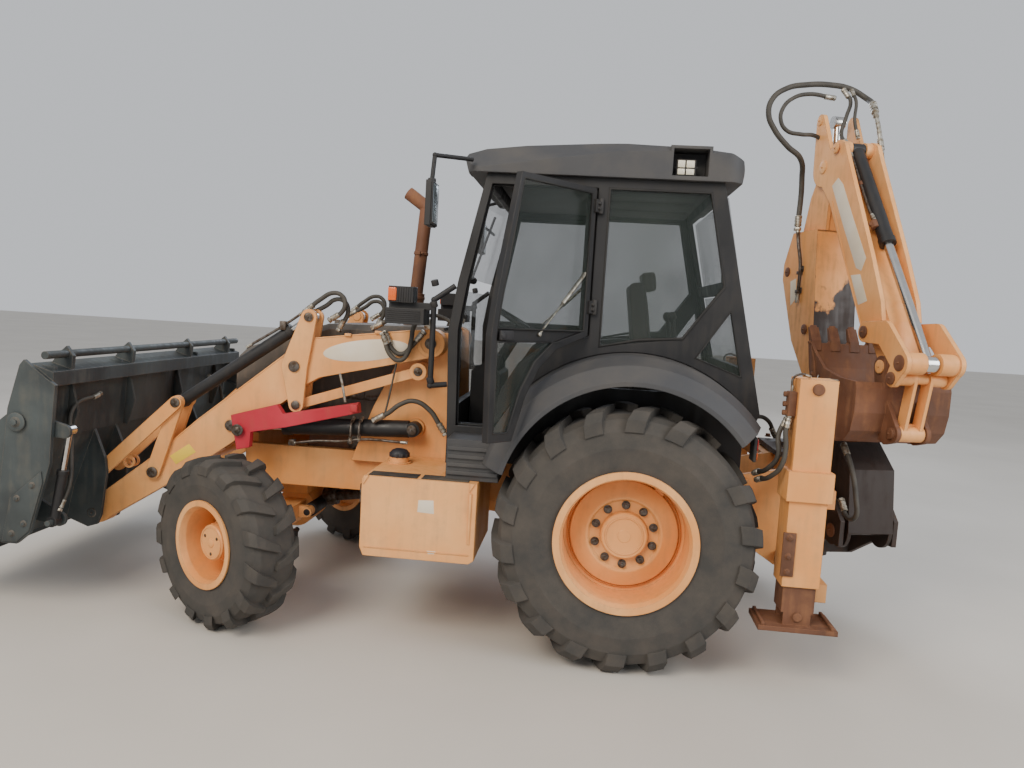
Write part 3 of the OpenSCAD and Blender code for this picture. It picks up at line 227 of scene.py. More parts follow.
# The boom's inner side is near black below about 2.2 m, and the whole boom below about 1.35 m, a painted
# shade at its foot
boom_enamel = painted_steel("boom_enamel_dark_face_shaded_foot", "#DE9650", "#E8A868", "#5A3A26", "#A87C52",
    dirt=0.65, side=((-0.242, 0.970, 0), 2.2, 1.35, "#2C211C"))
dress(["boom"], boom_enamel)
hood_grey = painted_steel("grey_hood_enamel", "#4A4540", "#5C554E", "#8A6A48", "#77695A", edge=0.35,
    dirt=0.85, gloss=0.5)
dress(["hood"], hood_grey)
strut_red = painted_steel("red_enamel", "#B01E30", "#C23444", "#3A1C18", "#A05848", dirt=0.35)
dress(["safety_strut"], strut_red)
black_enamel = painted_steel("black_enamel", "#161618", "#222224", "#4A4038", "#4A443D", edge=0.35,
    dirt=0.25)
dress(["cab_frame", "door_left", "door_right", "lamps_mirrors", "lift_barrels", "tilt_barrels",
       "clam_barrels", "boom_barrel", "dipper_barrel", "hoe_barrel"], black_enamel)
worn_bucket = painted_steel("worn_bucket_steel", "#262B2D", "#434B4C", "#6A5F52", "#6B665B", edge=0.9,
    dirt=0.38, gloss=0.5)
dress(["bucket_back", "bucket_clam"], worn_bucket)
rusty = painted_steel("rusty_steel", "#5A3A28", "#7A5038", "#8A5A38", "#95694A", edge=0.7, dirt=0.6,
                      gloss=0.6)
# The kingpost and swing carriage get a near-black brown: painted shade for the shadow they stand in
shade_dark_steel = painted_steel("painted_shade_dark_steel", "#2A2220", "#3A2E28", "#6A4630", "#5A4232", edge=0.5,
                     dirt=0.6, gloss=0.5)
dress(["swing_carriage", "kingpost"], shade_dark_steel)
dress(["hoe_bucket", "stabiliser_left", "stabiliser_right", "exhaust_stack",
       "engine_block"], rusty)


# Roof, fenders and steps: dark grey polyethylene, moulded in one skin with a fine grain that has
# gone dull and dusty outdoors.


def moulded_plastic(name, colour, dust, grain=380, rough=0.55):
    """Grained polyethylene: a 2 mm pebble grain, dulled in clouds by dust"""
    mat, coords = blank(name)
    cloud = noise(mat, coords, 3.1, 8, 0.6)
    dusted = ranged(mat, cloud, 0.42, 0.75, 0, 0.6)
    skin = mix(mat, dusted, colour, dust)
    pebble = put(mat, "TexVoronoi", {"Vector": (coords, "Object"), "Scale": grain})
    soft = put(mat, "Bevel", {"Radius": 0.008}, samples=4)
    bump = put(mat, "Bump", {"Height": (pebble, 0), "Strength": 0.12, "Distance": 0.001,
        "Normal": (soft, 0)})
    rub = ranged(mat, cloud, 0.3, 0.8, rough, rough + 0.25)
    return finish(mat, {"Base Color": (skin, 2), "Roughness": (rub, 0), "Normal": (bump, 0)})


grey_plastic = moulded_plastic("grey_polyethylene", "#3C3D40", "#5C5751")
dress(["cab_roof", "fenders"], grey_plastic)
dark_plastic = moulded_plastic("dark_abs", "#232326", "#4C4740")
dress(["operator_seat", "dash_console"], dark_plastic)

# Windows: 6 mm toughened glass, tinted grey-green, with a dusty film.
glass, coords = blank("tinted_glass")
film = noise(glass, coords, 2, 2)
haze = ranged(glass, film, 0.45, 0.8, 0.30, 0.42)
tint = mix(glass, film, "#1A2421", "#3A423C")
finish(glass, {"Base Color": (tint, 2), "Roughness": 0.06, "Alpha": (haze, 0), "Specular IOR Level": 0.7})
dress(["cab_glass", "door_left_glass", "door_right_glass"], glass)

# Piston rods: ground steel with hard chrome, bright, with a thin film of oil and dust.
chrome, coords = blank("hard_chrome")
film = noise(chrome, coords, 18, 6)
rub = ranged(chrome, film, 0, 1, 0.12, 0.34)
tone = mix(chrome, film, "#D8DADC", "#A9A49C")
finish(chrome, {"Base Color": (tone, 2), "Metallic": 1.0, "Roughness": (rub, 0)})
dress(["lift_rods", "tilt_rods", "clam_rods", "boom_rod", "dipper_rod", "hoe_rod"], chrome)

# Tyres: black rubber gone grey, with red dust in the grooves and on the walls.
rubber, coords = blank("dusty_rubber")
cloud = noise(rubber, coords, 6, 9, 0.65)
dusted = ranged(rubber, cloud, 0.35, 0.85, 0, 0.6)
skin = mix(rubber, dusted, "#3A3937", "#625950")
fine = noise(rubber, coords, 160, 4)
soft = put(rubber, "Bevel", {"Radius": 0.008}, samples=4)
bump = put(rubber, "Bump", {"Height": (fine, 0), "Strength": 0.3, "Distance": 0.002, "Normal": (soft, 0)})
finish(rubber, {"Base Color": (skin, 2), "Roughness": 0.85, "Normal": (bump, 0)})
dress(["tyre_rear_left", "tyre_rear_right", "tyre_front_left", "tyre_front_right"], rubber)

# Small parts are drawn in millimetres in the frame of what carries them, and carried to their
# place at the end: the tractor itself, the swung backhoe, and each wheel about its own axle.
MM = Matrix.Scale(0.001, 4)
HOE_SWUNG = radians(104)
MACHINE = Matrix.Translation(DATUM) @ MM
HOE = Matrix.Translation(spot(-1.4, -0.38, 0)) @ Matrix.Rotation(HOE_SWUNG, 4, "Z") @ MM
ACROSS, UP = (0, 1, 0), (0, 0, 1)
SIDES = ((1, "left"), (-1, "right"))
# The profile of every bevel, and that it takes the material of the face beside it
EASED = {"profile": 0.5, "affect": "EDGES", "material": -1}
# The one mesh that is drawn in, from one piece() to the next
bm = bmesh.new()


def wheel_home(name, side):
    """The frame of a wheel: its own middle, with +Y outboard"""
    out = Vector(joint["roll_" + name]["axis"]) * side
    return Matrix.Translation(pivot("roll_" + name)) @ Matrix.Rotation(-atan2(out.x, out.y), 4, "Z") @ MM


def hang(name, data, mat, body):
    """Make a finished mesh or curve an object in its material, on its body"""
    obj = bpy.data.objects.new(name, data)
    bpy.context.collection.objects.link(obj)
    data.materials.append(mat)
    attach(obj, body)
    return obj


def piece(name, mat, body="chassis", home=MACHINE, crease=35):
    """Close what is drawn, in millimetres, hang it on its body and empty the mesh for the next"""
    bmesh.ops.remove_doubles(bm, verts=bm.verts, dist=0.01)
    bmesh.ops.transform(bm, matrix=home, verts=bm.verts)
    bmesh.ops.recalc_face_normals(bm, faces=bm.faces)
    data = bpy.data.meshes.new(name)
    bm.to_mesh(data)
    bm.clear()
    data.shade_smooth()
    data.set_sharp_from_angle(angle=radians(crease))
    return hang(name, data, mat, body)


def aimed(p, axis):
    """A frame at p whose Z lies along the axis"""
    return Matrix.Translation(Vector(p)) @ Vector(axis).to_track_quat("Z", "Y").to_matrix().to_4x4()


def drum(p, q, r, r2=None, sides=28, soft=0.0):
    """A round bar or a cone from p to q with eased rims"""
    p, q = Vector(p), Vector(q)
    made = bmesh.ops.create_cone(bm, cap_ends=True, segments=sides, radius1=r,
        radius2=r if r2 is None else r2, depth=(q - p).length, matrix=aimed((p + q) / 2, q - p))
    if soft:
        edges = dict.fromkeys(e for v in made["verts"] for e in v.link_edges)
        rims = [e for e in edges if any(len(f.verts) == sides for f in e.link_faces)]
        bmesh.ops.bevel(bm, geom=rims, offset=soft, segments=2, **EASED)


def brick(lo, hi, soft, segments=2):
    """A block between two corners with eased edges"""
    lo, hi = Vector(lo), Vector(hi)
    place = Matrix.Translation((lo + hi) / 2) @ Matrix.Diagonal((hi - lo).to_4d())
    made = bmesh.ops.create_cube(bm, size=1, matrix=place)
    edges = list(dict.fromkeys(e for v in made["verts"] for e in v.link_edges))
    bmesh.ops.bevel(bm, geom=edges, offset=soft, segments=segments, **EASED)


def turned(profile, p, axis, steps=40):
    """A turned shape: pairs of radius and distance along the axis, swept about the axis through p"""
    place = aimed(p, axis)
    verts = [bm.verts.new(place @ Vector((r, 0, t))) for r, t in profile]
    edges = [bm.edges.new(pair) for pair in zip(verts, verts[1:])]
    bmesh.ops.spin(bm, geom=verts + edges, cent=place.translation, axis=place.to_3x3() @ Vector(UP),
                   angle=2 * pi, steps=steps, use_merge=True)


def only(geom, kind):
    """The elements of one kind in what an operator gives back"""
    return [g for g in geom if isinstance(g, kind)]


def plate(outline, y0, y1, soft):
    """A plate cut to an outline in the side view, from y0 to y1, with eased edges"""
    face = bm.faces.new([bm.verts.new((x, y0, z)) for x, z in outline])
    grown = bmesh.ops.extrude_face_region(bm, geom=[face])["geom"]
    bmesh.ops.translate(bm, vec=(0, y1 - y0, 0), verts=only(grown, bmesh.types.BMVert))
    rims = dict.fromkeys(e for g in [*only(grown, bmesh.types.BMFace), face] for e in g.edges)
    bmesh.ops.bevel(bm, geom=list(rims), offset=soft, segments=2, **EASED)


def mirrored():
    """Add the same again on the other side of the machine"""
    again = bmesh.ops.duplicate(bm, geom=bm.verts[:] + bm.edges[:] + bm.faces[:])["geom"]
    bmesh.ops.scale(bm, vec=(1, -1, 1), verts=only(again, bmesh.types.BMVert))


def bolt(p, axis, size, tall=0.65):
    """A hexagon head on its washer, size across corners"""
    p, axis = Vector(p), Vector(axis).normalized()
    drum(p - axis, p + axis * size * 0.14, size * 0.66, sides=20, soft=0.6)
    drum(p, p + axis * size * tall, size * 0.5, sides=6, soft=size * 0.04)


# Bright and bare metal: zinc-plated fittings, gone dull and brown in the threads.


def plain_metal(name, light, dark, rough):
    """Plated or bare steel, mottled over about 2 cm by oil, dust and rust"""
    mat, coords = blank(name)
    cloud = noise(mat, coords, 45, 6)
    spread = ranged(mat, cloud, 0.38, 0.66)
    tone = mix(mat, spread, light, dark)
    rub = ranged(mat, cloud, 0, 1, rough - 0.15, rough + 0.2)
    return finish(mat, {"Base Color": (tone, 2), "Metallic": 0.8, "Roughness": (rub, 0)})


zinc = plain_metal("zinc_plated_steel", "#B9B6AC", "#7C705F", 0.42)
bare = plain_metal("oiled_bare_steel", "#6A6560", "#4A3A2C", 0.5)

# Hydraulic hose: steel-braided rubber, its cover ribbed by the wrapping cloth and gone grey-brown.
hose_rubber, coords = blank("wrapped_hose_rubber")
cloud = noise(hose_rubber, coords, 11, 7)
tone = mix(hose_rubber, cloud, "#1C1C1D", "#5A554C")
wrap = noise(hose_rubber, coords, 420, 2)
relief = put(hose_rubber, "Bump", {"Height": (wrap, 0), "Strength": 0.25, "Distance": 0.0008})
finish(hose_rubber, {"Base Color": (tone, 2), "Roughness": 0.62, "Normal": (relief, 0)})
dress(["boom_hose"], hose_rubber)


def round_curve(name, r, rings):
    """The data of a round curve that has no points yet"""
    data = bpy.data.curves.new(name, "CURVE")
    data.dimensions = "3D"
    data.bevel_depth = r / 1000
    data.bevel_resolution = rings
    return data


# The crimps of a hose's sleeve: radius and distance from the hose's end, in hose radii
CRIMPS = ((1.32, 1), (1.2, 1.1), (1.2, 1.4), (1.32, 1.5), (1.32, 2.4), (1.2, 2.5), (1.2, 2.8),
          (1.32, 2.9), (1.32, 3.8), (1.05, 4))


def line(name, points, r, mat, body="chassis", home=MACHINE, ends=True):
    """A hose or pipe through points, with a crimped sleeve and a nut at each end"""
    data = round_curve(name, r, 3)
    data.resolution_u = 8
    data.use_fill_caps = True
    spline = data.splines.new("BEZIER")
    spline.bezier_points.add(len(points) - 1)
    for knot, p in zip(spline.bezier_points, points):
        knot.co = home @ Vector(p)
        knot.handle_left_type = knot.handle_right_type = "AUTO"
    obj = hang(name, data, mat, body)
    if ends:
        # The sleeve's face leans back by 0.2 mm from the neck to the first crimp
        sleeve = [(0, -r * 1.2), (r * 0.8, -r * 1.2), (r * 0.8, 0), (r * 1.32, 0.2)]
        sleeve += [(r * a, r * b) for a, b in CRIMPS]
        for p, q in ((points[0], points[1]), (points[-1], points[-2])):
            p, way = Vector(p), (Vector(q) - Vector(p)).normalized()
            turned(sleeve, p, way, 20)
            drum(p - way * r * 1.6, p - way * r * 0.4, r * 1.35, sides=6, soft=r * 0.1)
        piece(name + "_ends", zinc, body, home)
    return obj


# Wheel fastenings. Each rear rim hangs on ten M22 studs with bare steel nuts, each front rim on
# eight; the hubs' covers have a turned groove and the air valve comes through the dish.
REAR_STUDS, REAR_CIRCLE = 10, 163
FRONT_STUDS, FRONT_CIRCLE = 8, 117


def ring(count, radius, first=0.0):
    """Points spaced about a wheel's axle, as x and z"""
    turns = [2 * pi * (i + first) / count for i in range(count)]
    return [(radius * cos(a), radius * sin(a)) for a in turns]


for name, side in (("rear_left", 1), ("rear_right", -1)):
    home = wheel_home(name, side)
    for x, z in ring(REAR_STUDS, REAR_CIRCLE, 0.5):
        bolt((x, 7, z), ACROSS, 36, 0.62)
        drum((x, 24, z), (x, 39, z), 10, 9, soft=1.5)
    piece("wheel_nuts_" + name, bare, "wheel_" + name, home)
    turned([(96, 44), (96, 50), (98, 52), (104, 52), (106, 50), (106, 44), (96, 44)], (0, 0, 0), ACROSS,
        64)
    turned([(0, 50), (34, 50), (38, 47), (38, 44)], (0, 0, 0), ACROSS, 40)
    turned([(300, -32), (305, -26), (311, -32), (305, -34), (300, -32)], (0, 0, 0), ACROSS, 72)
    brick((-200, -30, 214), (-150, -18, 262), 4)
    piece("hub_ring_" + name, enamel, "wheel_" + name, home)
    drum((160, -40, 268), (165, 12, 276), 6, 5, soft=1)
    drum((165, 12, 276), (166, 24, 278), 7.5, soft=1.5)
    piece("air_valve_" + name, bare, "wheel_" + name, home)
for name, side in (("front_left", 1), ("front_right", -1)):
    home = wheel_home(name, side)
    for x, z in ring(FRONT_STUDS, FRONT_CIRCLE):
        bolt((x, -33, z), ACROSS, 21, 0.7)
        drum((x, -20, z), (x, -8, z), 6, soft=1)
    for x, z in ring(3, 64, 1.5 / (2 * pi)):
        bolt((x, 94, z), ACROSS, 15, 0.3)
    piece("wheel_nuts_" + name, bare, "wheel_" + name, home)
    turned([(84, 90), (84, 97), (87, 99), (93, 99), (95, 96), (95, 90), (84, 90)], (0, 0, 0), ACROSS, 56)
    turned([(0, 101), (20, 101), (26, 98), (28, 94), (28, 90)], (0, 0, 0), ACROSS, 32)
    for x, z in ring(6, 101):
        drum((x, -30, z), (x, 60, z), 8, soft=2)
    piece("hub_ring_" + name, enamel, "wheel_" + name, home)
    drum((-96, -60, 160), (-100, -6, 166), 6, 5, soft=1)
    drum((-100, -6, 166), (-101, 6, 168), 7.5, soft=1.5)
    piece("air_valve_" + name, bare, "wheel_" + name, home)

# Steering and drive below the tractor: the tie rod behind the front axle with its ball ends, the
# double-acting steering ram, and the front drive shaft with its two universal joints.
for s in (1, -1):
    drum((1990, s * 500, 455), (1990, s * 560, 440), 16, soft=2)
    drum((1990, s * 560, 400), (1990, s * 560, 470), 26, soft=6)
drum((2020, -190, 497), (2020, 190, 497), 44, soft=4)
drum((2020, -262, 497), (2020, -190, 497), 22, soft=2)
drum((2020, 190, 497), (2020, 262, 497), 22, soft=2)
piece("steering_ram", black_enamel)
drum((1080, -60, 690), (1960, -60, 540), 38, soft=3)
for x, z in ((1080, 690), (1960, 540)):
    drum((x - 46, -60, z + 8), (x + 46, -60, z - 8), 62, soft=6)
    drum((x, -130, z), (x, 10, z), 20, soft=3)
    drum((x, -60, z - 66), (x, -60, z + 66), 20, soft=3)
piece("drive_shaft", bare)
brick((1260, -190, 760), (2000, 190, 905), 22, 3)
turned([(0, 0), (118, 0), (128, 10), (128, 34), (112, 40), (112, 52), (60, 60), (0, 60)],
    (2015, 0, 1010), (1, 0, 0))
for y in (-120, -40, 40, 120):
    drum((1330, y, 752), (1330, y, 764), 14, sides=6, soft=1)
for x in (1360, 1480, 1600, 1720):
    drum((x, 258, 1330), (x, 330, 1300), 26, soft=5)
drum((1330, 318, 1290), (1770, 318, 1290), 32, soft=10)
drum((1850, 262, 1120), (1850, 330, 1120), 58, soft=8)
drum((1700, 262, 1000), (1700, 340, 1000), 46, soft=8)
piece("sump_and_manifold", bare)

# Tank boxes beside the chassis: welded sheet with gussets, a hinged lid held by two latches, grit
# strips to step on, and on the left a filler neck with its vented cap.
grit = moulded_plastic("grit_strip", "#2A2826", "#7A6E5E", grain=240, rough=0.8)
for x0, x1 in ((852, 1112), (1136, 1404)):
    for y in (936, 992):
        brick((x0, y, 954.6), (x1, y + 44, 960), 1.5)
mirrored()
piece("grit_strips", grit)
for x in (812, 1396):
    plate([(x, 955), (x + 30, 955), (x + 30, 905)], 1049, 1056, 1)
brick((830, 1049, 556), (1410, 1054, 562), 1)
brick((1436, 700, 600), (1441, 900, 900), 1.5)
drum((835, 1049, 620), (835, 1056, 900), 8, soft=1)
mirrored()
piece("box_gussets", enamel)
brick((1434, 960, 800), (1450, 1030, 900), 2)
for z in (825, 870):
    drum((1448, 995, z), (1453, 995, z), 13, soft=1)
piece("box_end_plate", bare)
CAP = (1330, 640, 0)
cap_black = moulded_plastic("filler_cap_nylon", "#20232B", "#57524C", grain=500, rough=0.4)
turned([(0, 1040), (22, 1039), (44, 1031), (55, 1018), (58, 1012), (58, 994), (54, 990), (50, 990)], CAP,
       UP)
for x, y in ring(12, 57):
    drum((CAP[0] + x, CAP[1] + y, 992), (CAP[0] + x, CAP[1] + y, 1014), 5, sides=10, soft=1)
piece("filler_cap", cap_black)
turned([(56, 954), (72, 955), (72, 962), (57, 963), (57, 992), (52, 992)], CAP, UP)
piece("filler_neck", enamel)

# Inside the cab: a suspension seat of black vinyl on a bellows, armrests, a ribbed rubber floor
# mat, pedals, the levers of the backhoe behind the seat and the gear levers beside the wheel.
vinyl, coords = blank("sewn_black_vinyl")
grain = put(vinyl, "TexVoronoi", {"Vector": (coords, "Object"), "Scale": 420})
cloud = noise(vinyl, coords, 9, 7)
tone = mix(vinyl, cloud, "#1B1B1D", "#4A4440")
relief = put(vinyl, "Bump", {"Height": (grain, 0), "Strength": 0.2, "Distance": 0.0008})
finish(vinyl, {"Base Color": (tone, 2), "Roughness": 0.5, "Normal": (relief, 0)})


def cushion(name, middle, size, crown, turn=0.0):
    """A sewn pad: crowned in the middle, its sides drawn in between the corners"""
    bmesh.ops.create_cube(bm, size=2)
    bmesh.ops.subdivide_edges(bm, edges=bm.edges[:], cuts=13, use_grid_fill=True)
    half = Vector(size) / 2
    for v in bm.verts:
        u, w, t = v.co
        pull = 1 - 0.05 * (1 - u * u) * (abs(w) > 0.99) - 0.05 * (1 - w * w) * (abs(u) > 0.99)
        round_off = 1 - 0.10 * abs(t) ** 4
        seam = 0.10 * max(0, 1 - abs(abs(w) - 0.52) / 0.09) * (t > 0)
        v.co = Vector((u * pull * round_off * half.x, w * pull * round_off * half.y,
                       t * half.z + crown * (1 - u ** 4) * (1 - w ** 4) * max(t, 0) - seam * crown * 2))
    bmesh.ops.smooth_vert(bm, verts=bm.verts, factor=0.5, use_axis_x=True, use_axis_y=True,
        use_axis_z=True)
    bmesh.ops.transform(bm, matrix=Matrix.Translation(middle) @ Matrix.Rotation(turn, 4, "Y"),
        verts=bm.verts)
    obj = piece(name, vinyl, crease=70)
    return obj


seat = cushion("seat_cushion", (180, 0, 1495), (470, 470, 110), 22)
cushion("seat_back", (-48, 0, 1835), (560, 450, 100), 20, turn=radians(-82))
cushion("seat_head", (-88, 0, 2118), (120, 300, 80), 12, turn=radians(-82))
for s, label in SIDES:
    cushion("armrest_" + label, (140, 275 * s, 1668), (320, 52, 44), 8)
FOLD = 50
for z in range(1120, 1370, FOLD):
    turned([(0, z), (135, z), (168, z + FOLD / 2), (135, z + FOLD), (0, z + FOLD)], (180, 0, 0), UP)
brick((20, -170, 1031), (340, 170, 1122), 14)
brick((-40, -215, 1372), (400, 215, 1442), 16)
for s in (1, -1):
    drum((-20, 246 * s, 1420), (-20, 262 * s, 1655), 16, 12, soft=2)
piece("seat_base", dark_plastic)
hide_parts("operator_seat")
brick((-160, -590, 1031), (780, 590, 1037), 2)
for y in range(-560, 570, 40):
    brick((-150, y, 1036), (770, y + 12, 1041), 2)
piece("floor_mat", rubber)
for y in (-190, -120, 120):
    plate([(770, 1120), (800, 1170), (792, 1176), (762, 1126)], y, y + 60, 2)
    drum((802, y + 30, 1150), (830, y + 30, 1060), 8, soft=1)
for y, x in ((300, 560), (345, 520), (-330, 600)):
    turned([(0, 0), (44, 0), (38, 10), (42, 20), (32, 30), (36, 40), (22, 52), (12, 56), (12, 330),
        (0, 330)], (x, y, 1037), (0.1, 0, 1), 20)
    turned([(0, -4), (14, 0), (24, 14), (24, 30), (14, 44), (0, 48)], (x + 33, y, 1362), (0.1, 0, 1), 20)
for y in (-160, 160):
    turned([(0, 1560), (60, 1560), (54, 1574), (58, 1586), (44, 1600), (46, 1612), (28, 1630),
        (17, 1636)], (-300, y, 0), UP, 24)
    turned([(0, -6), (16, 0), (27, 18), (27, 40), (16, 58), (0, 62)], (-250, y, 1880), (0.14, 0, 1), 24)
for y in (-420, -330, 330, 420):
    turned([(0, 1558), (20, 1558), (16, 1570), (7, 1576), (7, 1660), (16, 1670), (18, 1690), (8, 1702),
        (0, 1703)], (-300, y, 0), UP, 16)
brick((815, -180, 1500), (880, 180, 1600), 10)
piece("levers_and_pedals", dark_plastic)
brick((-370, -690, 2606), (830, 690, 2636), 12)
for y in (-400, 0, 400):
    brick((-330, y - 150, 2600), (300, y + 150, 2610), 5)
piece("headliner", grey_plastic)

# Glass is bonded in extruded rubber gaskets; the doors close on a bulb seal. The rear and front
# screens have a wiper each.
seal = moulded_plastic("extruded_rubber_seal", "#161617", "#3C3A37", grain=600, rough=0.6)


def ring_line(name, points, y, r, body="chassis", home=MACHINE, twins=True):
    """A closed rubber bead along an outline in the side view"""
    data = round_curve(name, r, 2)
    for side in ((1, -1) if twins else (1,)):
        spline = data.splines.new("POLY")
        spline.points.add(len(points) - 1)
        spline.use_cyclic_u = True
        for knot, (x, z) in zip(spline.points, points):
            knot.co = (home @ Vector((x, y * side, z))).to_4d()
    hang(name, data, seal, body)


ARCH_R = 850


def off_arch(a, d):
    """A point of the side view outside the wheel arch, at an angle about its middle"""
    return ((ARCH_R + d) * cos(radians(a)), ARCH_R + (ARCH_R + d) * sin(radians(a)))


ring_line("quarter_gaskets", [(200, 2585), (-345, 2585), (-455, 2085), off_arch(104.9, 123),
    off_arch(91, 70), off_arch(77, 43)], 757, 9)
ring_line("corner_gaskets", [(-500, 1955), off_arch(127.8, 99), off_arch(111.4, 52)], 757, 8)
ring_line("door_seals", [(812, 1224), (981, 1224), (996, 1761), (956, 2036), (847, 2581), (266, 2581),
    (266, 1787), off_arch(58.2, 142), off_arch(49.1, 133), off_arch(39.6, 95)], 722, 8)
drum((-560, 0, 2120), (-498, 300, 2420), 7, soft=1)
drum((-548, -30, 2118), (-566, 30, 2122), 24, soft=4)
brick((-522, 150, 2330), (-512, 480, 2350), 3)
drum((1012, 260, 2068), (915, 40, 2480), 8, soft=1)
drum((1030, 300, 2066), (1000, 230, 2060), 22, soft=4)
brick((936, -180, 2380), (948, 240, 2396), 3)
piece("wipers", dark_plastic)

# Doors: a pressed handle with its lock, the check strap, and a gas stay that holds the door open.
hinge = Matrix.Translation((243, 775, 0))
SHUT_TO_OPEN = hinge @ Matrix.Rotation(radians(50), 4, "Z") @ hinge.inverted()
for side, home in (("left", MACHINE @ SHUT_TO_OPEN), ("right", MACHINE @ Matrix.Diagonal((1, -1, 1, 1)))):
    brick((850, 758, 1742), (942, 776, 1792), 6, 3)
    turned([(0, 0), (16, 0), (16, 5), (10, 7), (0, 7)], (922, 774, 1766), ACROSS, 20)
    brick((780, 700, 1750), (900, 722, 1786), 6, 3)
    for z in (1935, 2485):
        bolt((262, 776, z + 14), ACROSS, 18)
        bolt((262, 776, z - 14), ACROSS, 18)
        drum((243, 775, z - 42), (243, 775, z + 42), 14, soft=3)
    piece("door_handle_" + side, dark_plastic, "door_" + side, home)
    drum((636, 742, 1776), (470, 742, 1944), 6, soft=1)
    drum((470, 742, 1944), (305, 742, 2112), 11, soft=2)
    for p in ((636, 742, 1776), (305, 742, 2112)):
        drum((p[0], 728, p[2]), (p[0], 752, p[2]), 12, soft=3)
    piece("gas_stay_" + side, zinc, "door_" + side, home)
    ring_line("door_pane_gasket_" + side, [(300, 1800), (300, 2550), (825, 2550), (918, 2036),
        (952, 1800)], 756, 7, "door_" + side, home, False)
    ring_line("door_low_gasket_" + side, [(952, 1735), (945, 1270), (845, 1270), off_arch(39.6, 146),
        off_arch(49.1, 182), off_arch(58.2, 188), (470, 1735)], 756, 7, "door_" + side, home, False)

# Lamps and mirrors: halogen work lamps with fluted lenses in black housings, amber indicators on
# top of the front lamps, red tail lamps on the fenders and convex mirrors on bent tube.


def lens(name, tint, rough):
    """Moulded acrylic: clear colour with 8 mm flutes"""
    mat, coords = blank(name)
    flute = put(mat, "TexWave", {"Vector": (coords, "Object"), "Scale": 26, "Distortion": 0.3})
    relief = put(mat, "Bump", {"Height": (flute, 0), "Strength": 0.6, "Distance": 0.002})
    return finish(mat, {"Base Color": hexed(tint), "Roughness": rough, "Normal": (relief, 0),
        "Coat Weight": 0.6})


amber = lens("amber_acrylic", "#E0641C", 0.2)
clear = lens("fluted_clear_lens", "#D8D2BE", 0.15)
red_lens = lens("red_acrylic", "#B0201C", 0.2)
for x0, x1 in ((-240, -197), (-190, -152)):
    brick((x0, 772, 2672), (x1, 781, 2704), 3)
    brick((x0, 772, 2710), (x1, 781, 2748), 3)
brick((1394, 690, 1790), (1404, 840, 1860), 6, 3)
brick((-524, 470, 2668), (-516, 570, 2740), 4)
brick((1010, 470, 2668), (1018, 570, 2712), 4)
mirrored()
piece("work_lamp_lenses", clear)
brick((-250, 740, 2664), (-144, 773, 2756), 7, 3)
for x in (-250, -144):
    drum((x, 752, 2712), (x + (-10 if x < -200 else 10), 752, 2712), 10, soft=2)
for z in range(1796, 1862, 11):
    brick((1200, 845, z), (1390, 853, z + 5), 1.5)
for x in range(1262, 1384, 14):
    brick((x, 828, 1906), (x + 6, 834, 1986), 1.5)
brick((-528, 460, 2660), (-519, 580, 2748), 5)
brick((1006, 460, 2662), (1013, 580, 2718), 5)
mirrored()
piece("lamp_housings", dark_plastic)
brick((1384, 722, 1906), (1396, 826, 1984), 6, 3)
brick((1345, 826, 1908), (1392, 838, 1982), 6, 3)
brick((-655, 930, 1190), (-645, 1010, 1230), 5, 3)
mirrored()
piece("indicator_lenses", amber)
brick((-655, 930, 1240), (-645, 1010, 1300), 5, 3)
mirrored()
piece("tail_lenses", red_lens)
brick((-646, 920, 1180), (-628, 1020, 1310), 6, 3)
brick((1116, 918, 2314), (1126, 1072, 2538), 5, 3)
drum((1140, 1000, 2528), (1140, 1000, 2560), 22, soft=5)
for z in (1470, 1900, 2020):
    drum((1136, 776, z - 16), (1144, 784, z + 16), 21, soft=3)
mirrored()
piece("mirror_shells", dark_plastic)
silvered = plain_metal("silvered_mirror_glass", "#AEB8BE", "#8D979B", 0.2)
brick((1113, 928, 2326), (1117, 1062, 2526), 2)
mirrored()
piece("mirror_glass", silvered)

# Hood, exhaust and fenders: a pressed lip round the hood's rear, side louvres and latches, a band
# clamp on the silencer.
# Six louvres, 62 apart
for x in range(1800, 2172, 62):
    plate([(x, 1500), (x + 38, 1500), (x + 38, 1504), (x, 1512)], 344, 352, 1)
brick((1168, 344, 1330), (1186, 349, 1700), 2)
brick((1640, 344, 1290), (1700, 356, 1330), 4)
drum((1670, 354, 1310), (1670, 362, 1310), 12, soft=2)
for z in (1500, 1620):
    brick((1200, 344, z), (1270, 352, z + 30), 4)
mirrored()
piece("hood_fittings", hood_grey, "hood")
foot, bend = Vector((1505, -250, 1545)), Vector((1428, -250, 2560))
stack = (bend - foot).normalized()
for t in (30, 395, 700):
    wide = 60 if t < 430 else 47
    turned([(wide - 4, t - 12), (wide, t - 12), (wide + 3, t - 8), (wide + 3, t + 8), (wide, t + 12),
                (wide - 4, t + 12)], foot, stack, 40)
    at_t = foot + stack * t
    drum(at_t + Vector((-18, wide, 0)), at_t + Vector((-18, wide + 16, 0)), 7, soft=1)
    brick(at_t + Vector((-8, wide - 2, -12)), at_t + Vector((8, wide + 22, 12)), 2)
piece("exhaust_clamps", rusty)

# Pins of the loader: hardened and ground steel, each with a grease nipple in its head, held by a
# welded collar where it passes through the tower.


def pin_heads(name, mat, body, home, spots):
    """The outer ends of a body's pins on both sides, each at x, z, y with a radius"""
    for x, z, y, r in spots:
        turned([(0, 8), (r * 0.25, 8), (r * 0.8, 8), (r, 5), (r, -3)], (x, y, z), ACROSS, 28)
        turned([(0, 20), (3, 19), (4, 15), (3, 12), (6, 11), (6, 6)], (x, y, z), ACROSS, 12)
    mirrored()
    piece(name, mat, body, home)


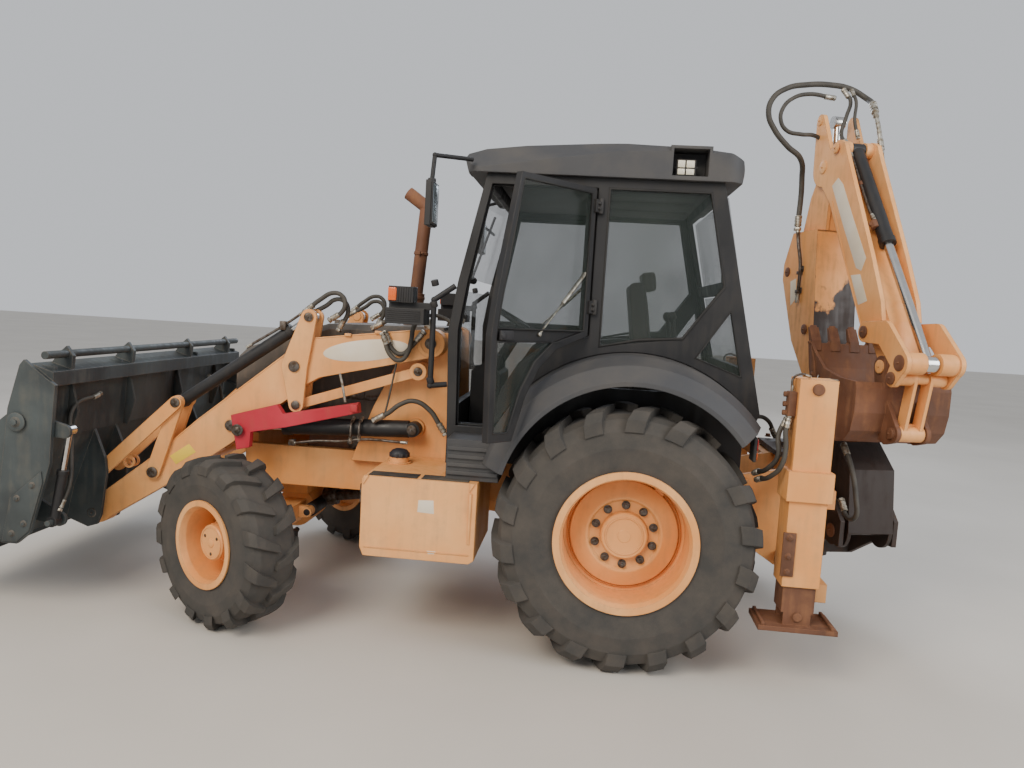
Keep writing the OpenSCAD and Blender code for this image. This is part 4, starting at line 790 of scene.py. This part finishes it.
ARM_PIVOT, LEVEL_PIN, LIFT_BASE, LIFT_PIN = (1195, 1665), (1262, 1493), (1285, 1137), (2420, 1085)
CLAM_PIVOT, LEVER_PIVOT, BUCKET_PIN = (3340, 1127), (2909, 757), (3275, 480)
for name, body, spots in (
        ("chassis", "chassis", ((*ARM_PIVOT, 548, 34), (*LEVEL_PIN, 548, 27))),
        ("lift_barrels", "lift_barrels", ((*LIFT_BASE, 548, 30),)),
        ("arms", "loader_arms", ((*LIFT_PIN, 548, 34),)),
        ("bellcrank", "bellcranks", ((2020, 1478, 572, 34), (1940, 1780, 570, 27),
                                     (2003, 1243, 570, 27))),
        ("lever", "guide_levers", ((*LEVER_PIVOT, 572, 34),)),
        ("bucket_link", "bucket_links", ((2758, 1207, 588, 30),)),
        ("bucket", "bucket_back", ((*BUCKET_PIN, 610, 30),))):
    pin_heads("pin_heads_" + name, bare, body, MACHINE, spots)
turned([(27, 544), (48, 544), (52, 548), (52, 553), (30, 553), (27, 550)],
       (LEVEL_PIN[0], 0, LEVEL_PIN[1]), ACROSS, 40)
turned([(58, 538), (84, 538), (84, 545), (60, 547), (58, 545)],
       (ARM_PIVOT[0], 0, ARM_PIVOT[1]), ACROSS, 48)
mirrored()
piece("pin_collars", enamel)

# Loader arms: pressed box beams with a weld along each edge, clamps that hold the pipes, lugs for
# the tie-down and worn vinyl patches without any lettering where decals were.


def faded_vinyl(name, fresh, faded):
    """Thin printed film that the sun has bleached in soft clouds: matt, and never metallic"""
    mat, coords = blank(name)
    cloud = noise(mat, coords, 5, 3)
    tone = mix(mat, cloud, fresh, faded)
    return finish(mat, {"Base Color": (tone, 2), "Roughness": 0.6})


vinyl_patch = faded_vinyl("sun_bleached_vinyl", "#E9E3D6", "#CDB896")
ARM_FACE = 539.5
yellow_vinyl = faded_vinyl("faded_yellow_vinyl", "#F2D034", "#DDBB44")
# A leaning oval of 262 by 60 about (1588, 1600)
turns = [2 * pi * i / 40 for i in range(40)]
oval = [(1588 + 262 * cos(a) + 30 * sin(a), 1600 - 0.16 * 262 * cos(a) + 60 * sin(a)) for a in turns]
plate(oval, ARM_FACE, ARM_FACE + 1.7, 0.5)
mirrored()
piece("arm_patch", vinyl_patch, "loader_arms")
plate([(1036, 846), (1118, 842), (1122, 776), (1030, 772)], 1049.5, 1050.8, 0.4)
plate([(1010, 566), (1060, 566), (1052, 548), (1018, 550)], 1049.5, 1050.8, 0.4)
mirrored()
piece("box_patches", vinyl_patch)
plate([(2688, 948), (2812, 862), (2770, 812), (2642, 900)], ARM_FACE, ARM_FACE + 1.5, 0.4)
plate([(2040, 1390), (2075, 1370), (2060, 1340), (2025, 1362)], ARM_FACE, ARM_FACE + 1.5, 0.4)
mirrored()
piece("arm_labels_bare", yellow_vinyl, "loader_arms")
seam = [(1325, 1733), (1916, 1652), (2076, 1553), (2632, 1104), (2906, 861), (3240, 600)]
for y in (452, 538):
    for (x0, z0), (x1, z1) in zip(seam, seam[1:]):
        drum((x0, y, z0), (x1, y, z1), 5, sides=10)
for x, z in ((1515, 1712), (1700, 1686)):
    brick((x - 20, 535, z - 8), (x + 20, 556, z + 10), 3)
for y in (470, 520):
    turned([(26, -8), (26, 8), (38, 8), (38, -8), (26, -8)], (3090, y, 800), ACROSS, 24)
mirrored()
for y in (-330, 330):
    turned([(74, -14), (86, -9), (86, 9), (74, 14)], (2700, y, 870), ACROSS, 40)
piece("arm_welds_and_clamps", enamel, "loader_arms")

# Hydraulic lines of the loader. Steel pipes run along the lift and tilt barrels; hoses loop from
# them to the chassis and over the arm's heel in front of the cab. All are held at both ends.


def at(y, *points):
    """Points of the side view at one distance from the middle"""
    return [(x, y, z) for x, z in points]


# name, radius, material, body, slot, ends and the points on the left
LOADER_LINES = (
    ("lift_pipe", 8, bare, "lift_barrels", "hose", True,
     at(566, (1314, 1062), (1596, 1062), (1681, 1045), (1874, 1031), (2025, 1006))),
    ("lift_barrel_loop_a", 8, bare, "lift_barrels", "hose", True,
     [(1654, 566, 1046), (1650, 584, 1090), (1652, 566, 1150), (1654, 520, 1178)]),
    ("lift_barrel_loop_b", 8, bare, "lift_barrels", "hose", True,
     [(1601, 566, 1062), (1598, 586, 1100), (1600, 566, 1158), (1601, 520, 1184)]),
    ("lift_hose", 15, hose_rubber, "chassis", "hose", True,
     at(552, (1505, 1190), (1433, 1232), (1362, 1289), (1279, 1316), (1182, 1270), (1115, 1182),
        (1087, 1142))),
    ("lift_cable", 6, hose_rubber, "chassis", "hose", False,
     at(556, (1394, 1536), (1416, 1410), (1436, 1300), (1453, 1220))),
    ("tilt_pipe", 8, bare, "tilt_barrels", "hose", True,
     at(520, (2332, 1577), (2112, 1718), (1990, 1806))),
    ("tilt_hose_a", 14, hose_rubber, "loader_arms", "hose", True,
     at(470, (1990, 1816), (1907, 1887), (1822, 1933), (1768, 1916), (1750, 1865), (1775, 1811),
        (1830, 1775))),
    ("tilt_hose_b", 14, hose_rubber, "loader_arms", "hose", True,
     at(430, (1995, 1790), (1883, 1851), (1821, 1894), (1767, 1885), (1742, 1830), (1790, 1720))),
    ("heel_hose_a", 14, hose_rubber, "loader_arms", "hose", True,
     at(562, (1465, 1707), (1419, 1617), (1365, 1594), (1305, 1645), (1246, 1720))),
    ("heel_hose_b", 14, hose_rubber, "loader_arms", "hose", True,
     at(584, (1475, 1696), (1417, 1576), (1364, 1558), (1320, 1610), (1306, 1675), (1290, 1768),
        (1251, 1812), (1198, 1794))),
    ("heel_hose_c", 14, hose_rubber, "loader_arms", "hose", True,
     at(430, (1570, 1740), (1480, 1790), (1390, 1820), (1290, 1800), (1210, 1740))),
    ("strut_rod", 8, zinc, "loader_arms", "rod", False,
     at(600, (1724, 1457), (1702, 1372), (1685, 1287))))
for s, label in SIDES:
    for name, r, mat, body, slot, ends, points in LOADER_LINES:
        line(name + "_" + label, [(x, y * s, z) for x, y, z in points], r, mat, body, ends=ends)
brick((2092, 500, 1690), (2132, 540, 1745), 4)
brick((1640, 545, 1036), (1668, 578, 1060), 3)
brick((2000, 545, 994), (2036, 578, 1030), 3)
mirrored()
piece("pipe_clamps", bare, "lift_barrels")
STRUT_BOLT = (2335, 640, 1075)
turned([(0, 12), (14, 12), (22, 8), (22, -2)], STRUT_BOLT, ACROSS, 6)
turned([(12, 3), (34, 3), (36, 1), (36, -2)], STRUT_BOLT, ACROSS, 28)
mirrored()
piece("strut_bolts", bare, "loader_arms")
brick((1596, 618, 1236), (1640, 650, 1280), 5)
mirrored()
piece("strut_fittings", strut_red, "loader_arms")

# The four-in-one bucket: a bolted cutting edge, stiffening ribs and a torsion tube on the back
# wall, a hose guard, and side wear plates, all worn to bare steel by digging.
for y in (-880, -300, 300, 880):
    plate([(3262, 1005), (3238, 1325), (3222, 1325), (3185, 1160), (3235, 1000)], y - 9, y + 9, 2)
for y in (-1100, -480, 480, 1100):
    brick((3168, y - 12, 1395), (3270, y + 12, 1440), 4)
for s in (1, -1):
    plate([(3270, 520), (3345, 452), (3430, 452), (3380, 700), (3200, 860), (3190, 800)], s * 1175,
        s * 1183, 2)
    for x, z in ((3300, 560), (3370, 500), (3250, 780), (3340, 700)):
        bolt((x, s * 1183, z), (0, s, 0), 26, 0.45)
    turned([(20, -2), (40, -2), (52, 6), (52, 12), (40, 16), (0, 16)],
           (CLAM_PIVOT[0], s * 1180, CLAM_PIVOT[1]), (0, s, 0), 36)
    bolt((CLAM_PIVOT[0], s * 1194, CLAM_PIVOT[1]), (0, s, 0), 40, 0.5)
piece("bucket_ribs", worn_bucket, "bucket_back")
EDGE_BOLTS, EDGE_PITCH = 9, 270
for i in range(EDGE_BOLTS):
    y = (i - (EDGE_BOLTS - 1) / 2) * EDGE_PITCH
    bolt((3900, y, 414), (0.15, 0, 1), 34, 0.35)
    bolt((3900, y, 384), (0, 0, -1), 40, 0.6)
for s in (1, -1):
    plate([(3470, 420), (3960, 420), (3800, 690), (3560, 760)], s * 1144, s * 1150, 2)
piece("clam_edge_bolts", worn_bucket, "bucket_clam")
for s, label in SIDES:
    line("clam_hose_" + label, [(3150, s * 1088, 640), (3130, s * 1040, 760), (3175, s * 960, 960),
        (3205, s * 900, 1180), (3180, s * 700, 1240)], 12, hose_rubber, "bucket_back")

# Stabilisers: square tubes with a retaining pin, bolted wear pads, a check valve on the front
# face, its two hoses, and a scraped foot hinged below.
VALVE_Y, FOOT_Y = 1045, 1010
for s, label in SIDES:
    turned([(0, 12), (26, 12), (30, 8), (30, -2)], (-903, s * 1100, 1586), (0, s, 0), 32)
    brick((-861, s * 1104 - 5, 616), (-796, s * 1104 + 5, 845), 2)
    for z in (819, 721, 640):
        bolt((-828, s * 1109, z), (0, s, 0), 24, 0.5)
    brick((-811, s * VALVE_Y - 30, 1439), (-768, s * VALVE_Y + 30, 1566), 5)
    for z in (1455, 1500, 1550):
        drum((-768, s * VALVE_Y, z), (-748, s * VALVE_Y, z), 14, sides=6, soft=1)
    piece("stabiliser_fittings_" + label, rusty, "chassis")
    line("stabiliser_hose_a_" + label, [(-780, s * 1060, 1425), (-767, s * 1075, 1366),
        (-773, s * 1085, 1274), (-763, s * 1080, 1190), (-730, s * 1000, 1110), (-700, s * 850, 1060)],
        13, hose_rubber)
    line("stabiliser_hose_b_" + label, [(-780, s * 1030, 1425), (-742, s * 1040, 1340),
        (-748, s * 1045, 1230), (-720, s * 980, 1150), (-690, s * 820, 1090)], 13, hose_rubber)
    line("stabiliser_pipe_" + label, [(-790, s * 1040, 1572), (-792, s * 1040, 1636),
        (-830, s * 1040, 1656), (-870, s * 1030, 1646)], 6, bare)
    for y in (-84, 84):
        turned([(0, 8), (20, 8), (24, 4), (24, -4)], (-905, s * FOOT_Y + y, 400),
            (0, 1 if y > 0 else -1, 0), 24)
    for x in (-1080, -730):
        brick((x - 9, s * FOOT_Y - 116, 354), (x + 9, s * FOOT_Y + 116, 372), 3)
    piece("stabiliser_foot_" + label, rusty, "stabiliser_" + label)

# Backhoe: pins with collars on both sides of every joint, steel pipes clamped to the boom, hoses
# over its head, and the steel line along the bucket cylinder's barrel.
HOE_PIN, CURL_BASE, GUIDE_TUBE = (735, 1690), (35, 3075), (975, 1728)
for name, body, spots in (
        ("kingpost", "kingpost", ((0, 1190, 166, 34), (500, 640, 200, 44))),
        ("boom", "boom", ((-130, 1880, 160, 34), (-455, 2285, 150, 34))),
        ("dipper", "dipper", ((-130, 2980, 130, 44), (-224, 3307, 130, 32), (*CURL_BASE, 144, 34),
                              (*HOE_PIN, 137, 40))),
        ("guide", "guide_links", ((612, 1888, 186, 36), (919, 1637, 186, 36), (*GUIDE_TUBE, 180, 46))),
        ("hoe_bucket", "hoe_bucket", ((865, 1315, 117, 32),))):
    pin_heads("hoe_pins_" + name, enamel if name == "dipper" else rusty, body, HOE, spots)
line("head_hose_a", [(-225, -63, 3081), (-225, -103, 3177), (-225, -165, 3207), (-225, -264, 3207),
    (-225, -373, 3225), (-225, -420, 3290), (-225, -410, 3370), (-225, -345, 3440), (-225, -233, 3478),
    (-225, -60, 3470)], 14, hose_rubber, "dipper", home=HOE)
line("head_hose_b", [(-160, -10, 3500), (-130, 20, 3440), (-110, -10, 3320), (-100, -40, 3210),
    (20, -62, 3110)], 13, hose_rubber, "dipper", home=HOE)
line("head_hose_c", [(-150, 40, 3500), (-90, 40, 3420), (-60, 25, 3290), (-30, 40, 3180)], 11,
    hose_rubber, "dipper", home=HOE)
# Along the barrel from its base to the guide's tube, in distances along it, off it and across
way = Vector((GUIDE_TUBE[0] - CURL_BASE[0], 0, GUIDE_TUBE[1] - CURL_BASE[1])).normalized()
out = Vector((-way.z, 0, way.x))
start = Vector((CURL_BASE[0], -56, CURL_BASE[1]))
run = [start + way * t + out * d + Vector((0, y, 0)) for t, d, y in
       ((40, 10, 0), (120, 6, 4), (470, 2, 4), (540, 6, 2), (600, 14, 6))]
line("curl_pipe", run, 9, bare, "hoe_barrel", home=HOE)
inward = Vector((0, 8, 0))
PORT = 640
for t, size in ((PORT, 26), (300, 15)):
    drum(start + way * (t - size) + inward, start + way * (t + size) + inward, size, sides=8, soft=3)
bolt(start + way * PORT + Vector((0, -18, 0)), (0, -1, 0), 20)
piece("curl_port_block", rusty, "hoe_barrel", HOE)
line("swing_hose_a", [(560, -200, 1180), (650, -205, 1090), (740, -205, 900), (745, -200, 790),
    (650, -200, 770), (590, -198, 840)], 15, hose_rubber, "kingpost", home=HOE)
# The main hose over the head of the dipper, and the pipes that carry it down the boom's sides
over = [(-328, -172, 2600), (-330, -172, 2930), (-262, -232, 3052), (-260, -336, 3127),
    (-260, -445, 3234), (-260, -494, 3328), (-260, -478, 3428), (-260, -383, 3509), (-260, -230, 3550),
    (-260, -63, 3565), (-260, 88, 3552), (-238, 188, 3500), (-118, 182, 3420), (-79, 172, 3375)]
main_hose = line("main_hose", over, 19, hose_rubber, "boom", home=HOE)
line("main_hose_end", [(-79, 172, 3375), (-24, 172, 3275), (40, 172, 3108)], 15, zinc, "boom",
    home=HOE)
line("boom_pipe_left", [(-250, -168, 2080), (-250, -168, 2330), (-300, -170, 2480), (-328, -172, 2600)],
    12, bare, "boom", home=HOE)
line("boom_pipe_right", [(40, 172, 3108), (88, 172, 2960), (96, 172, 2860), (40, 172, 2700),
    (-90, 170, 2590), (-190, 168, 2500), (-190, 166, 2380)], 12, bare, "boom", home=HOE)
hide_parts("boom_hose")
for z in (2470, 2400):
    brick((-206, 150, z - 12), (-174, 184, z + 12), 3)
for z in (2140, 2270):
    brick((-266, -184, z - 12), (-234, -150, z + 12), 3)
for s in (-1, 1):
    for z in (2150, 2300):
        brick((-276, s * 154 - 4, z - 20), (-224, s * 154 + 4, z + 20), 3)
        bolt((-232, s * 157, z), (0, s, 0), 14)
piece("boom_clamps", bare, "boom", HOE)
plate([(7, 2836), (75, 2880), (139, 2830), (300, 2590), (478, 2337), (440, 2260), (381, 2280),
    (200, 2540)], -131.2, -129.6, 0.5)
plate([(330, 2237), (432, 2240), (533, 2075), (443, 2050)], -131.2, -129.6, 0.5)
piece("dipper_patch", vinyl_patch, "dipper", HOE)
plate([(-400, 2215), (-322, 2235), (-300, 2090), (-372, 2040)], -151.2, -149.6, 0.5)
piece("boom_patch", vinyl_patch, "boom", HOE)
seam = [(22, 2735), (255, 2312), (508, 1900)]
for y in (-129, 129):
    for (x0, z0), (x1, z1) in zip(seam, seam[1:]):
        drum((x0, y, z0), (x1, y, z1), 5, sides=10)
turned([(62, -98), (78, -98), (84, -90), (84, 90), (78, 98), (62, 98)],
       (HOE_PIN[0], 0, HOE_PIN[1]), ACROSS, 44)
piece("dipper_welds", enamel, "dipper", HOE)

# Backhoe bucket: cast teeth on welded adaptors, side cutters, ribs below and a wear strip.
TOOTH_PITCH = 132.5
for i in (-2, -1, 0, 1, 2):
    y = i * TOOTH_PITCH
    plate([(232, 1800), (205, 1802), (168, 1905), (180, 1912), (222, 1842)], y - 22, y + 22, 5)
    bolt((214, y - 33, 1800), (0, -1, 0), 18)
for s in (1, -1):
    plate([(262, 1660), (330, 1480), (360, 1500), (300, 1700), (250, 1780)], s * 305 - 6, s * 305 + 6, 2)
    for x, z in ((300, 1600), (330, 1530)):
        bolt((x, s * 311, z), (0, s, 0), 22, 0.5)
    plate([(430, 1300), (600, 1216), (700, 1236), (690, 1258), (600, 1240), (440, 1324)], s * 200 - 9,
        s * 200 + 9, 2)
piece("hoe_teeth", rusty, "hoe_bucket", HOE)
line("ear_wire", [(740, -120, 1480), (700, -140, 1540), (560, -330, 1590), (430, -340, 1580),
    (380, -312, 1600)], 4, zinc, "hoe_bucket", ends=False, home=HOE)

# Swing frame: carriage clamps and the twin swing cylinders' hoses at the foot of the backhoe.
for y in (-640, -120):
    for z in (1092, 392):
        bolt((-1075, y, z), (0, 0, 1 if z > 700 else -1), 34)
for y in (-650, -110):
    drum((-1130, y + (40 if y < -300 else -40), 900), (-1240, -380 + (y + 380) * 0.4, 900), 34, soft=4)
piece("swing_cylinders", rusty, "swing_carriage")
line("swing_hose_b", [(-1100, -560, 1120), (-1040, -520, 1220), (-930, -430, 1250), (-820, -330, 1180),
                      (-760, -250, 1060)], 15, hose_rubber)
